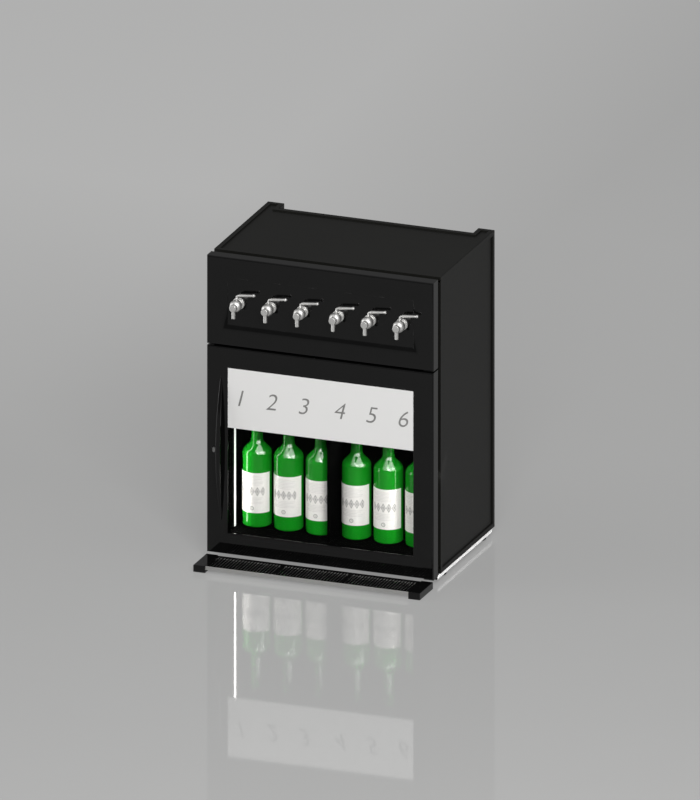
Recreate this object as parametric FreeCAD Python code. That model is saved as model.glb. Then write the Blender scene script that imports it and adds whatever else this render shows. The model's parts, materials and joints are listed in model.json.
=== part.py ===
"""Wine preservation dispenser for six bottles: a cooled cabinet with a glazed door, a tap panel
above the door and a loose drip tray in front. Millimetres. The origin is the middle of the
footprint on the floor, +Z is up, and the front faces -Y. Left and right are as seen from the
front."""

import FreeCAD, Part
import math
import os

from FreeCAD import Vector

# Overall size and the planes that the pieces share
HALF_WIDTH = 300.0
TRAY_FRONT = -260.0
DOOR_FRONT = -167.0
PANEL_THICKNESS = 35.0
DOOR_BACK = DOOR_FRONT + PANEL_THICKNESS
CASE_FRONT = -115.0
CASE_REAR = 260.0
CASE_TOP = 800.0
SHEET = 1.6

# Base
PAN_BOTTOM = 12.0
CASE_BOTTOM = 22.0
PAN_HALF = 298.0
PAN_FRONT = -131.0
PAN_REAR = 246.0
DECK_TOP = 40.0
BASE_WALL = 4.0
FOOT_X = 275.0
FOOT_Y = (-57.0, 218.0)

# Casing: each skin has a flat ring round a sunk field
SKIN_INSIDE = HALF_WIDTH - SHEET
RING = 12.0
SINK = 3.5
FIELD_INSIDE = HALF_WIDTH - SINK - SHEET
FLANGE_INSIDE = 284.0
FLANGE_TOP = 785.5
FOLD_LOW = 790.5
POST_INSIDE = 257.0
POST_FRONT = 220.0
POST_BAND = 249.8
POST_WALL = 2.0
TOP_REAR = 221.0
REAR_PANEL_TOP = 786.0
REAR_PANEL_Y = 255.5
VENT_X = (-95, 0, 95)
VENT_Z = (*range(150, 331, 18), *range(620, 711, 18))
SCREW_X = 250.0
SCREW_BORE = 2.2
SCREW_Z = (60.0, 200.0, 340.0, 480.0, 620.0, 750.0)
INLET_X = -190.0
INLET_Z = 78.0

# Chamber
CHAMBER_HALF = 257.0
CHAMBER_REAR = 30.0
CHAMBER_FLOOR = 56.0
CHAMBER_TOP = 540.0
LINER = 1.5
LINER_FLANGE_HALF = 283.5
LINER_FLANGE_TOP = 568.0
FOAM_REAR = 75.0
FOAM_TOP = 585.0
SHELF_TOP = 64.3
DIVIDER_HALF = 4.0
DIVIDER_FRONT = -110.0
LIGHT_Y = (-95.0, -75.5)
LIGHT_Z = (67.5, 535.5)
LIGHT_THICKNESS = 1.2

# Front panels: the door below, the tap panel above
DOOR_LOW = CASE_BOTTOM
DOOR_HIGH = 563.9
TAP_PANEL_LOW = 568.9
FRAME_WIDTH = 54.5
FRAME_DROP = 4.0
RIM_WIDTH = 28.0
EDGE_RADIUS = 4.0
REAR_RADIUS = 3.0
GROOVE = 3.0
GLASS_DEPTH = 6.0
GLASS_THICKNESS = 4.0
SIGN_LOW = 353.2
SIGN_THICKNESS = 2.0
PLATE_DEPTH = 4.6
PLATE_THICKNESS = 4.0
SEAL_WIDTH = 14.0
SPACER_HALF = 288.0
SPACER_Z = (582.0, 786.0)
GASKET_HALF = 281.0
GASKET_Z = (44.0, 556.0)

# Door furniture
HINGE_X = 290.0
HINGE_Y = -150.0
PIN_RADIUS = 4.0
RUNNING = 0.05
HANDLE_X = -262.0
HANDLE_Z = (109.0, 483.0)
HANDLE_BOW = 25.0
LOCK_X = -279.5
LOCK_Z = 293.5
LOCK_RADIUS = 6.0
PLUG_RADIUS = 4.5

# Taps and bottles stand in line
STATIONS = (-216.0, -132.0, -47.5, 47.5, 132.0, 216.0)
TAP_Z = 683.0
STEM_REACH = 15.4
SPOUT_REACH = 38.8
SPOUT_BOTTOM = 655.0
SPOUT_RADIUS = 5.0
SHANK_RADIUS = 8.0
TAIL_REACH = 54.0
LEVER_LENGTH = 44.75
LEVER_RISE = 6.5
KNEE_HEIGHT = 19.3
BOTTLE_Y = -36.5
BOTTLE_RADIUS = 37.3
BOTTLE_HEIGHT = 300.0
BOTTLE_BASE = SHELF_TOP

# Lines
WINE_TUBE = 3.0
GAS_TUBE = 2.5
RAIL_Y = 12.0
RAIL_Z = 450.0
RAIL_RADIUS = 8.0
FEED_X = 200.0
FEED_RADIUS = 5.0
COIL_HALF = 170.0
COIL_LOW = 150.0
REGULATOR_Z = 650.0

# Machinery
COMPRESSOR_FOOT = Vector(-120, 172, DECK_TOP)
FAN_CENTRE = Vector(95, 178, 170)

# Drip tray
TRAY_REAR = -169.0
CAP_WIDTH = 31.0
CAP_HEIGHT = 18.0
CAP_GRIP = 5.0
TROUGH_Y = (-258.0, -175.0)
TROUGH_LOW = 8.0
TROUGH_LIP = 17.8
TROUGH_SHEET = 1.0
TROUGH_FOLD = -189.5
GRID_THICKNESS = 2.0
GRID_SEAT = CAP_HEIGHT - GRID_THICKNESS
GRID_Y = (-256.9, -174.5)
SLOT_Y = (-253.0, -182.0)
GRID_HALF = 89.5
SLOT_PITCH = 8.1
SLOT_WIDTH = 4.5
SLOT_COUNT = 21

PLATE_FRONT = DOOR_FRONT + PLATE_DEPTH


def both(half):
    """A span that is the same on either side of the middle."""
    return (-half, half)


def block(x, y, z):
    """A box from three (low, high) spans."""
    return Part.makeBox(x[1] - x[0], y[1] - y[0], z[1] - z[0], Vector(x[0], y[0], z[0]))


def widened(span, by=SHEET):
    """A span grown at both ends."""
    return (span[0] - by, span[1] + by)


def rod(start, end, radius):
    """A round bar between two points."""
    way = end - start
    return Part.makeCylinder(radius, way.Length, start, way)


def mirrored(shape):
    """The shape's mirror image on the other side of the middle."""
    return shape.mirror(Vector(0, 0, 0), Vector(1, 0, 0))


def pair(right):
    """A shape and its mirror image, left first."""
    return [mirrored(right), right]


def fused(solids):
    """All the solids as one."""
    first, *rest = solids
    return first.multiFuse(rest) if rest else first


def group(solids):
    """Separate solids that share a node."""
    return Part.makeCompound(solids)


def outline(corners, place):
    """A closed face. Each corner is a point (u, v), or a pair of points that an arc passes through
    and ends at. place turns (u, v) into a point in space."""
    edges = []
    start = here = place(*corners[0])
    for corner in corners[1:]:
        if isinstance(corner[0], tuple):
            through, end = place(*corner[0]), place(*corner[1])
            edges.append(Part.Arc(here, through, end).toShape())
        else:
            end = place(*corner)
            edges.append(Part.LineSegment(here, end).toShape())
        here = end
    if (here - start).Length > 1e-6:
        edges.append(Part.LineSegment(here, start).toShape())
    return Part.Face(Part.Wire(edges))


def turned(corners, foot, axis):
    """A solid of revolution. Each corner is (radius, distance along the axis from foot)."""
    side = Vector(1, 0, 0) if abs(axis.x) < 0.5 else Vector(0, 1, 0)
    face = outline(corners, lambda radius, along: foot + side * radius + axis * along)
    return face.revolve(foot, axis, 360)


def bend(centre, across, start, radius, angle):
    """A round bar bent about an axis: a disc at start, swept by an angle about the line through
    centre."""
    spoke = start - centre
    normal = across.cross(spoke).normalize()
    disc = Part.Face(Part.Wire(Part.makeCircle(radius, start, normal)))
    return disc.revolve(centre, across, angle)


def line_of(points, radius):
    """A bent round line: straight runs joined by arcs as large as the shorter run allows."""
    pieces, here = [], points[0]
    for before, corner, after in zip(points, points[1:], points[2:]):
        arriving, leaving = corner - before, after - corner
        turn = arriving.getAngle(leaving)
        shorter = min(arriving.Length, leaving.Length)
        trim = 0.45 * shorter
        size = trim / math.tan(turn / 2)
        entry = corner - Vector(arriving).normalize() * trim
        across = Vector(arriving).cross(leaving).normalize()
        centre = entry + across.cross(Vector(arriving).normalize()) * size
        pieces.append(rod(here, entry, radius))
        pieces.append(bend(centre, across, entry, radius, math.degrees(turn)))
        here = corner + Vector(leaving).normalize() * trim
    pieces.append(rod(here, points[-1], radius))
    return fused(pieces)


def mitred(half, low, high, width, profile, front):
    """A frame of four rails with mitred corners. profile gives its section as (inset from the outer
    edge, depth behind the front plane)."""
    reach = (front - 5, front + PANEL_THICKNESS + 5)
    post = outline(profile, lambda inset, depth: Vector(-half + inset, front + depth, low))
    sill = outline(profile, lambda inset, depth: Vector(-half, front + depth, low + inset))
    left = post.extrude(Vector(0, 0, high - low))
    bottom = sill.extrude(Vector(2 * half, 0, 0))
    side_gore = outline(
        [(-half, low), (-half + width, low + width), (-half + width, high - width), (-half, high)],
        lambda u, v: Vector(u, reach[0], v),
    )
    sill_gore = outline(
        [(-half, low), (half, low), (half - width, low + width), (-half + width, low + width)],
        lambda u, v: Vector(u, reach[0], v),
    )
    depth = Vector(0, reach[1] - reach[0], 0)
    left = left.common(side_gore.extrude(depth))
    bottom = bottom.common(sill_gore.extrude(depth))
    top = bottom.mirror(Vector(0, 0, (low + high) / 2), Vector(0, 0, 1))
    return fused([*pair(left), bottom, top])


def frame_section(panel_depth, panel_thickness):
    """Section of a front frame: rounded outer edges, a flat rim, a convex moulding that falls to
    the inner edge, and a groove that holds the glass or plate."""
    run = FRAME_WIDTH - RIM_WIDTH
    radius = (run * run + FRAME_DROP * FRAME_DROP) / (2 * FRAME_DROP)
    half_turn = math.asin(run / radius) / 2
    middle = (RIM_WIDTH + radius * math.sin(half_turn), radius * (1 - math.cos(half_turn)))
    front_corner = EDGE_RADIUS * (1 - math.sqrt(0.5))
    rear_corner = REAR_RADIUS * (1 - math.sqrt(0.5))
    return [
        (REAR_RADIUS, PANEL_THICKNESS),
        ((rear_corner, PANEL_THICKNESS - rear_corner), (0, PANEL_THICKNESS - REAR_RADIUS)),
        (0, EDGE_RADIUS),
        ((front_corner, front_corner), (EDGE_RADIUS, 0)),
        (RIM_WIDTH, 0),
        (middle, (FRAME_WIDTH, FRAME_DROP)),
        (FRAME_WIDTH, panel_depth),
        (FRAME_WIDTH - GROOVE, panel_depth),
        (FRAME_WIDTH - GROOVE, panel_depth + panel_thickness),
        (FRAME_WIDTH, panel_depth + panel_thickness),
        (FRAME_WIDTH, PANEL_THICKNESS - 4),
        (FRAME_WIDTH - 4, PANEL_THICKNESS),
    ]


# Base and casing


def base_pan():
    """Folded steel pan under the case, lower where the door swings over it, with a hole for each
    foot's stud."""
    pan = block(both(PAN_HALF), (PAN_FRONT, PAN_REAR), (PAN_BOTTOM, CASE_BOTTOM))
    inside = block(
        both(PAN_HALF - SHEET), widened((PAN_FRONT, PAN_REAR), -SHEET), (PAN_BOTTOM + SHEET, CASE_BOTTOM)
    )
    under_door = block(both(PAN_HALF + 1), (PAN_FRONT - 1, CASE_FRONT), (CASE_BOTTOM - 1, CASE_BOTTOM + 1))
    holes = [rod(Vector(x, y, PAN_BOTTOM - 1), Vector(x, y, PAN_BOTTOM + 3), 4.2) for x, y in foot_places()]
    return pan.cut([inside, under_door, *holes])


def foot_places():
    """Where the four feet stand."""
    return [(x, y) for x in (-FOOT_X, FOOT_X) for y in FOOT_Y]


def levelling_feet():
    """Four feet, each a round pad, a collar and a stud through the pan."""
    pad = [(0, 0), (15.5, 0), (17, 1.5), (17, 6), (10, 8), (10, 12), (4, 12), (4, 19), (3.4, 20), (0, 20)]
    return group([turned(pad, Vector(x, y, 0), Vector(0, 0, 1)) for x, y in foot_places()])


def base_frame():
    """Deck that carries the chamber and the machinery, stepped in above so that the side panels'
    sunk fields fit."""
    step = CASE_BOTTOM + RING - SHEET
    lip = block(both(SKIN_INSIDE), (CASE_FRONT, POST_BAND), (CASE_BOTTOM, step))
    deck = block(both(FIELD_INSIDE), (CASE_FRONT, POST_BAND), (step, DECK_TOP))
    room_y = widened((CASE_FRONT, POST_BAND), -BASE_WALL)
    under = block(both(FIELD_INSIDE - BASE_WALL), room_y, (CASE_BOTTOM, DECK_TOP - SHEET))
    return lip.fuse(deck).cut(under)


def side_panel():
    """Right side skin: a sunk field inside a flat ring, and a return flange along the front edge."""
    field = widened((CASE_FRONT, CASE_REAR), -RING), widened((CASE_BOTTOM, CASE_TOP), -RING)
    plate = block((SKIN_INSIDE, HALF_WIDTH), (CASE_FRONT, CASE_REAR), (CASE_BOTTOM, CASE_TOP))
    dish = block((FIELD_INSIDE, SKIN_INSIDE), *[widened(span) for span in field])
    recess = block((FIELD_INSIDE + SHEET, HALF_WIDTH + 1), *field)
    flange = block((FLANGE_INSIDE, SKIN_INSIDE), (CASE_FRONT, CASE_FRONT + SHEET), (DECK_TOP, FLANGE_TOP))
    return fused([plate, dish, flange]).cut(recess)


def rear_post():
    """Square corner tube up to the top's sunk field, a band that closes the rear corner, and a
    ledge that the rear panel is screwed to."""
    tube_top, band_top = CASE_TOP - SINK - SHEET, CASE_TOP - SHEET
    tube = block((POST_INSIDE, FIELD_INSIDE), (POST_FRONT, POST_BAND), (DECK_TOP, tube_top))
    inner = block((POST_INSIDE, POST_INSIDE + POST_WALL), (POST_FRONT, CASE_REAR), (DECK_TOP, band_top))
    band = block((POST_INSIDE, SKIN_INSIDE), (POST_BAND, CASE_REAR), (CASE_BOTTOM, band_top))
    hollow = block(
        widened((POST_INSIDE, FIELD_INSIDE), -POST_WALL),
        widened((POST_FRONT, CASE_REAR), -POST_WALL),
        (DECK_TOP, tube_top - POST_WALL),
    )
    ledge = block((243, POST_INSIDE + 1), (252.5, REAR_PANEL_Y), (DECK_TOP, 770))
    holes = [rod(Vector(SCREW_X, 250, z), Vector(SCREW_X, 258, z), SCREW_BORE) for z in SCREW_Z]
    return fused([tube, inner, band, ledge]).cut([hollow, *holes])


def top_panel():
    """Top skin with a sunk field, folded edges and a tab over each rear post. Between the tabs the
    case is open at the back, where the warm air leaves."""
    skin_low, field_top = CASE_TOP - SHEET, CASE_TOP - SINK
    field = both(HALF_WIDTH - RING), widened((CASE_FRONT, TOP_REAR), -RING)
    tab_field = (POST_INSIDE + RING, HALF_WIDTH - RING), (TOP_REAR - RING - SHEET, CASE_REAR - RING)
    pieces = [
        block(both(SKIN_INSIDE), (CASE_FRONT, TOP_REAR), (skin_low, CASE_TOP)),
        *pair(block((POST_INSIDE, SKIN_INSIDE), (POST_FRONT, CASE_REAR), (skin_low, CASE_TOP))),
        block(*[widened(span) for span in field], (field_top - SHEET, skin_low)),
        *pair(block(*[widened(span) for span in tab_field], (field_top - SHEET, skin_low))),
        block(both(SKIN_INSIDE), (CASE_FRONT, CASE_FRONT + SHEET), (FOLD_LOW, skin_low)),
        block(both(POST_INSIDE), (TOP_REAR - SHEET, TOP_REAR), (FOLD_LOW, skin_low)),
        *pair(block((SKIN_INSIDE - SHEET, SKIN_INSIDE), (CASE_FRONT, POST_FRONT), (FOLD_LOW, skin_low))),
    ]
    recesses = [block(*field, (field_top, CASE_TOP + 1)), *pair(block(*tab_field, (field_top, CASE_TOP + 1)))]
    return fused(pieces).cut(recesses)


def rear_panel():
    """Rear sheet with rows of vent slots over the machinery, the power inlet's cut-out and the gas
    fitting's hole."""
    sheet = block(both(POST_INSIDE - 0.5), (REAR_PANEL_Y, REAR_PANEL_Y + 2), (CASE_BOTTOM, REAR_PANEL_TOP))
    rim = block(both(POST_INSIDE - 0.5), (REAR_PANEL_Y, 259.5), (REAR_PANEL_TOP - 2, REAR_PANEL_TOP))
    cuts = [inlet_opening()]
    cuts.append(rod(Vector(FEED_X, 250, REGULATOR_Z), Vector(FEED_X, 262, REGULATOR_Z), 8.2))
    cuts += [rod(Vector(x, 250, z), Vector(x, 262, z), SCREW_BORE) for x in both(SCREW_X) for z in SCREW_Z]
    cuts += [vent_slot(x, z) for x in VENT_X for z in VENT_Z]
    return sheet.fuse(rim).cut(cuts)


def vent_slot(x, z):
    """One slot with round ends."""
    half, radius = 33.0, 3.0
    face = outline(
        [
            (-half, -radius),
            (half, -radius),
            ((half + radius, 0), (half, radius)),
            (-half, radius),
            ((-half - radius, 0), (-half, -radius)),
        ],
        lambda u, v: Vector(x + u, 250, z + v),
    )
    return face.extrude(Vector(0, 12, 0))


def inlet_opening():
    """Cut-out for the power inlet."""
    return block((INLET_X - 14, INLET_X + 14), (250, 262), (INLET_Z - 10, INLET_Z + 10))


def rear_panel_screws():
    """Pan-head screws along the two sides of the rear panel."""
    form = [(0, -6), (2, -6), (2, 2), (4.2, 2), (4.2, 3), (3, 4.4), (0, 4.4)]
    places = [(x, z) for x in both(SCREW_X) for z in SCREW_Z]
    return group([turned(form, Vector(x, REAR_PANEL_Y, z), Vector(0, 1, 0)) for x, z in places])


# Chamber


def ceiling_holes(low, high):
    """Ways through the chamber's ceiling for the wine lines and the gas feed."""
    places = [*[(x, BOTTLE_Y) for x in STATIONS], (FEED_X, RAIL_Y)]
    return [rod(Vector(x, y, low), Vector(x, y, high), FEED_RADIUS) for x, y in places]


def liner_outside():
    """The spans of the liner's outside."""
    across, back = both(CHAMBER_HALF + LINER), (CASE_FRONT, CHAMBER_REAR + LINER)
    return across, back, widened((CHAMBER_FLOOR, CHAMBER_TOP), LINER)


def chamber_liner():
    """Black inner box, open at the front, with a flange that the door seal closes on."""
    outer = block(*liner_outside())
    flange = block(both(LINER_FLANGE_HALF), (CASE_FRONT, CASE_FRONT + LINER), (DECK_TOP, LINER_FLANGE_TOP))
    inside = block(both(CHAMBER_HALF), (CASE_FRONT - 1, CHAMBER_REAR), (CHAMBER_FLOOR, CHAMBER_TOP))
    return outer.fuse(flange).cut([inside, *ceiling_holes(CHAMBER_TOP - 5, CHAMBER_TOP + 5)])


def insulation():
    """Foam between the liner and the side panels, with a pocket for the evaporator."""
    foam = block(both(FIELD_INSIDE), (CASE_FRONT + SHEET, FOAM_REAR), (DECK_TOP, FOAM_TOP))
    liner = block(*liner_outside())
    pocket = block(both(190), (CHAMBER_REAR + LINER, CHAMBER_REAR + 12), (110, 500))
    feeds = [
        rod(Vector(x, CHAMBER_REAR + 5, COIL_LOW), Vector(x, FOAM_REAR + 1, COIL_LOW), FEED_RADIUS)
        for x in both(COIL_HALF)
    ]
    return foam.cut([liner, pocket, *feeds, *ceiling_holes(CHAMBER_TOP, FOAM_TOP + 1)])


def bottle_shelf():
    """Shelf folded down at its front and rear."""
    across, back = both(CHAMBER_HALF - 0.5), (CASE_FRONT + 2, CHAMBER_REAR - 1)
    outer = block(across, back, (CHAMBER_FLOOR, SHELF_TOP))
    inner = block(across, widened(back, -LINER), (CHAMBER_FLOOR, SHELF_TOP - LINER))
    return outer.cut(inner)


def chamber_divider():
    """Wall between the two compartments, with a hole for the gas rail."""
    front = DIVIDER_FRONT + DIVIDER_HALF
    wall = block(both(DIVIDER_HALF), (front, CHAMBER_REAR), (SHELF_TOP, CHAMBER_TOP))
    nose = rod(Vector(0, front, SHELF_TOP), Vector(0, front, CHAMBER_TOP), DIVIDER_HALF)
    rail_hole = rod(Vector(-10, RAIL_Y, RAIL_Z), Vector(10, RAIL_Y, RAIL_Z), RAIL_RADIUS + 1)
    return wall.fuse(nose).cut(rail_hole)


def light_strips():
    """A thin diffuser up each side wall."""
    (front, rear), thick, bevel = LIGHT_Y, LIGHT_THICKNESS, 0.5
    section = [
        (0, front),
        (thick - bevel, front),
        (thick, front + bevel),
        (thick, rear - bevel),
        (thick - bevel, rear),
        (0, rear),
    ]
    face = outline(section, lambda u, v: Vector(CHAMBER_HALF - u, v, LIGHT_Z[0]))
    return group(pair(face.extrude(Vector(0, 0, LIGHT_Z[1] - LIGHT_Z[0]))))


# Tap panel


def tap_panel_spacer():
    """Ring that holds the tap panel off the case, set in from its edges."""
    thick = (DOOR_BACK, CASE_FRONT)
    outer = block(both(SPACER_HALF), thick, SPACER_Z)
    inner = block(both(SPACER_HALF - SEAL_WIDTH), thick, widened(SPACER_Z, -SEAL_WIDTH))
    return outer.cut(inner)


def tap_panel_frame():
    """Moulded frame round the tap plate."""
    section = frame_section(PLATE_DEPTH, PLATE_THICKNESS)
    return mitred(HALF_WIDTH, TAP_PANEL_LOW, CASE_TOP, FRAME_WIDTH, section, DOOR_FRONT)


def tap_panel_plate():
    """Glossy plate that the taps are screwed through."""
    reach = FRAME_WIDTH - GROOVE
    thick = (PLATE_FRONT, PLATE_FRONT + PLATE_THICKNESS)
    plate = block(both(HALF_WIDTH - reach), thick, widened((TAP_PANEL_LOW, CASE_TOP), -reach))
    holes = [rod(Vector(x, -170, TAP_Z), Vector(x, -150, TAP_Z), SHANK_RADIUS + 0.2) for x in STATIONS]
    return plate.cut(holes)


def tap_body(x):
    """One tap: shank through the plate, flange, bulged barrel, nose cap and spout, and the nut
    behind the plate."""
    foot, forward = Vector(x, PLATE_FRONT, TAP_Z), Vector(0, -1, 0)
    barrel = [
        (0, -TAIL_REACH),
        (2, -TAIL_REACH),
        (2.6, -43),
        (SHANK_RADIUS, -43),
        (SHANK_RADIUS, 0),
        (15.3, 0),
        (15.3, 3.6),
        (14.4, 4.5),
        (10.4, 4.9),
        (10, 5.6),
        (10, 8),
        (11, 8.6),
        ((14.0, 15.8), (15, 24.4)),
        ((14.1, 29.2), (10.5, 33)),
        (8.2, 34.4),
        (8.2, 35.6),
        (9, 36.5),
        (9, 45.2),
        (8, 46.4),
        (0, 46.4),
    ]
    spout_y = PLATE_FRONT - SPOUT_REACH
    spout = rod(Vector(x, spout_y, TAP_Z), Vector(x, spout_y, SPOUT_BOTTOM), SPOUT_RADIUS)
    mouth = rod(Vector(x, spout_y, TAP_Z - 4), Vector(x, spout_y, SPOUT_BOTTOM - 1), SPOUT_RADIUS - 1.5)
    stem_y = PLATE_FRONT - STEM_REACH
    stem_hole = rod(Vector(x, stem_y, TAP_Z - 7), Vector(x, stem_y, TAP_Z + 20), 3.0 + RUNNING)
    body = fused([turned(barrel, foot, forward), spout]).cut([mouth, stem_hole])
    return group([body, shank_nut(x)])


def shank_nut(x):
    """Hexagon nut that pulls the tap against the plate."""
    back = PLATE_FRONT + PLATE_THICKNESS
    angles = [math.radians(60 * i) for i in range(6)]
    corners = [(13 * math.cos(angle), 13 * math.sin(angle)) for angle in angles]
    hexagon = outline(corners, lambda u, v: Vector(x + u, back, TAP_Z + v)).extrude(Vector(0, 8, 0))
    return hexagon.cut(rod(Vector(x, back - 1, TAP_Z), Vector(x, back + 9, TAP_Z), SHANK_RADIUS))


def tap_lever(x):
    """One lever: a plug stem in the barrel, a collar, a bend, and a tapered arm with a ball at its
    end."""
    y = PLATE_FRONT - STEM_REACH
    bend_radius, stem_radius, bend_z = 6.0, 2.7, TAP_Z + KNEE_HEIGHT
    stem = [
        (0, -6),
        (3, -6),
        (3, 15.2),
        (4.3, 15.2),
        (4.3, 17.6),
        (stem_radius, KNEE_HEIGHT),
        (0, KNEE_HEIGHT),
    ]
    upright = turned(stem, Vector(x, y, TAP_Z), Vector(0, 0, 1))
    turn = 90 - LEVER_RISE
    centre = Vector(x + bend_radius, y, bend_z)
    corner = bend(centre, Vector(0, 1, 0), Vector(x, y, bend_z), stem_radius, turn)
    rise = math.radians(LEVER_RISE)
    arm_way = Vector(math.cos(rise), 0, math.sin(rise))
    arm_start = centre + Vector(-math.sin(rise), 0, math.cos(rise)) * bend_radius
    arm_length = (LEVER_LENGTH - (arm_start.x - x)) / math.cos(rise)
    taper = [
        (0, 0),
        (stem_radius, 0),
        (3.9, 1.6),
        (3.9, 6),
        (3.0, arm_length),
        (0, arm_length),
    ]
    side = Vector(0, 1, 0)
    arm = outline(taper, lambda radius, along: arm_start + side * radius + arm_way * along)
    arm = arm.revolve(arm_start, arm_way, 360)
    ball = Part.makeSphere(4.2, arm_start + arm_way * arm_length)
    return fused([upright, corner, arm, ball])


# Door


def door_frame():
    """Moulded door frame, bored for the hinge pins and the lock."""
    section = frame_section(GLASS_DEPTH, GLASS_THICKNESS)
    frame = mitred(HALF_WIDTH, DOOR_LOW, DOOR_HIGH, FRAME_WIDTH, section, DOOR_FRONT)
    bores = [
        rod(Vector(HINGE_X, HINGE_Y, low), Vector(HINGE_X, HINGE_Y, low + 19), PIN_RADIUS + RUNNING)
        for low in (DOOR_LOW - 1, DOOR_HIGH - 18)
    ]
    lock_front = Vector(LOCK_X, DOOR_FRONT - 1, LOCK_Z)
    return frame.cut([*bores, rod(lock_front, lock_front + Vector(0, 21, 0), LOCK_RADIUS)])


def door_glass():
    """Pane in the frame's groove."""
    reach = FRAME_WIDTH - GROOVE
    front = DOOR_FRONT + GLASS_DEPTH
    height = widened((DOOR_LOW, DOOR_HIGH), -reach)
    return block(both(HALF_WIDTH - reach), (front, front + GLASS_THICKNESS), height)


def sign_panel():
    """Plain pale panel on the upper part of the pane."""
    front = DOOR_FRONT + GLASS_DEPTH - SIGN_THICKNESS
    height = (SIGN_LOW, DOOR_HIGH - FRAME_WIDTH)
    return block(both(HALF_WIDTH - FRAME_WIDTH), (front, front + SIGN_THICKNESS), height)


def door_gasket():
    """Bellows seal on the back of the door."""
    thick, width, nip = CASE_FRONT - DOOR_BACK - 0.6, SEAL_WIDTH, 3.5
    outer_side = [(0, thick), (0, 10), (nip, 8), (nip, 6), (0, 4)]
    inner_side = [(width, 4), (width - nip, 6), (width - nip, 8), (width, 10), (width, thick)]
    section = [(0, 0), (width, 0), *inner_side, *outer_side]
    return mitred(GASKET_HALF, *GASKET_Z, width, section, DOOR_BACK)


def door_handle():
    """Bowed bar, widest at its middle, with both feet on the frame's moulding."""
    low, high = HANDLE_Z
    middle = (low + high) / 2
    seat, deep = DOOR_FRONT + 1, DOOR_FRONT + 7
    bow = DOOR_FRONT - HANDLE_BOW
    side = outline(
        [
            (deep, low),
            (seat, low),
            ((bow, middle), (seat, high)),
            (deep, high),
            (deep, high - 14),
            (seat, high - 14),
            ((bow + 9, middle), (seat, low + 14)),
            (deep, low + 14),
        ],
        lambda u, v: Vector(HANDLE_X - 20, u, v),
    )
    face = outline(
        [
            (HANDLE_X - 2.6, low),
            ((HANDLE_X - 6.5, middle), (HANDLE_X - 2.6, high)),
            (HANDLE_X + 2.6, high),
            ((HANDLE_X + 6.5, middle), (HANDLE_X + 2.6, low)),
        ],
        lambda u, v: Vector(u, bow - 5, v),
    )
    bar = side.extrude(Vector(40, 0, 0)).common(face.extrude(Vector(0, 50, 0)))
    return bar.cut(door_frame())


def lock_housing():
    """Black sleeve of the lock, pressed into the door frame."""
    bore, length, flange = PLUG_RADIUS + RUNNING, 18, LOCK_RADIUS + 1
    form = [
        (bore, 0),
        (LOCK_RADIUS, 0),
        (LOCK_RADIUS, length),
        (flange, length),
        (flange, length + 0.6),
        (flange - 0.4, length + 1),
        (bore, length + 1),
    ]
    return turned(form, Vector(LOCK_X, DOOR_FRONT + length, LOCK_Z), Vector(0, -1, 0))


def lock_barrel():
    """Turning plug of the lock, with an oblong grip across its front."""
    plug_front = Vector(LOCK_X, DOOR_FRONT - 1.4, LOCK_Z)
    plug = rod(plug_front + Vector(0, 17.9, 0), plug_front, PLUG_RADIUS)
    radius, straight, front = 3.2, 3.3, DOOR_FRONT - 4.6
    face = outline(
        [
            (-radius, -straight),
            ((0, -straight - radius), (radius, -straight)),
            (radius, straight),
            ((0, straight + radius), (-radius, straight)),
        ],
        lambda u, v: Vector(LOCK_X + u, front, LOCK_Z + v),
    )
    return plug.fuse(face.extrude(Vector(0, 3.4, 0)))


def hinge_brackets():
    """Lower and upper hinge plates with their pins. The lower one is screwed to the pan, the upper
    one to the tap panel's underside."""
    span = (272.0, 298.0)
    low_leg = block(span, (DOOR_BACK - 2.5, DOOR_BACK), (PAN_BOTTOM, 21))
    low_plate = block(span, (-160, DOOR_BACK), (18.5, 21))
    low_pin = rod(Vector(HINGE_X, HINGE_Y, 19), Vector(HINGE_X, HINGE_Y, DOOR_LOW + 15), PIN_RADIUS)
    high_plate = block(span, (-160, DOOR_BACK), (TAP_PANEL_LOW - 3, TAP_PANEL_LOW))
    high_pin = rod(
        Vector(HINGE_X, HINGE_Y, TAP_PANEL_LOW - 1), Vector(HINGE_X, HINGE_Y, DOOR_HIGH - 15), PIN_RADIUS
    )
    return group([fused([low_leg, low_plate, low_pin]), high_plate.fuse(high_pin)])


# Bottles and lines


def bottle(x):
    """Straight-sided wine bottle with high shoulders, a punt and a lip ring."""
    r = BOTTLE_RADIUS
    form = [
        (0, 16),
        (5, 16),
        ((18, 11.5), (26, 2.2)),
        (28.5, 0),
        (r - 5.5, 0),
        ((r - 1.61, 1.61), (r, 5.5)),
        (r, 187),
        ((35.2, 195.6), (29.8, 202.7)),
        (19.8, 212.7),
        ((16.2, 217.6), (14.7, 223.5)),
        (13.9, 284),
        (15.2, 286),
        (15.2, 295),
        (14, 297),
        (14, BOTTLE_HEIGHT),
        (9.3, BOTTLE_HEIGHT),
        (9.3, 256),
        (11.8, 225),
        (17.6, 211),
        (28, 200.5),
        (32.6, 194.5),
        (r - 2.8, 187),
        (r - 2.8, 7.5),
        (31, 5.2),
        (17, 16),
        (0, 19),
    ]
    return turned(form, Vector(x, BOTTLE_Y, BOTTLE_BASE), Vector(0, 0, 1))


def stopper(x):
    """Stopper: a plug in the neck, a cap on the lip, and a gas nipple beside the wine line."""
    foot = Vector(x, BOTTLE_Y, BOTTLE_BASE + BOTTLE_HEIGHT)
    form = [
        (WINE_TUBE, -24),
        (8.2, -24),
        (9.3, -20),
        (9.3, 0),
        (15.5, 0),
        (15.5, 10.5),
        (14, 12),
        (WINE_TUBE, 12),
    ]
    cap = turned(form, foot, Vector(0, 0, 1))
    nipple = rod(foot + Vector(0, 9, 11), foot + Vector(0, 9, 22), GAS_TUBE)
    return cap.fuse(nipple)


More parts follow.
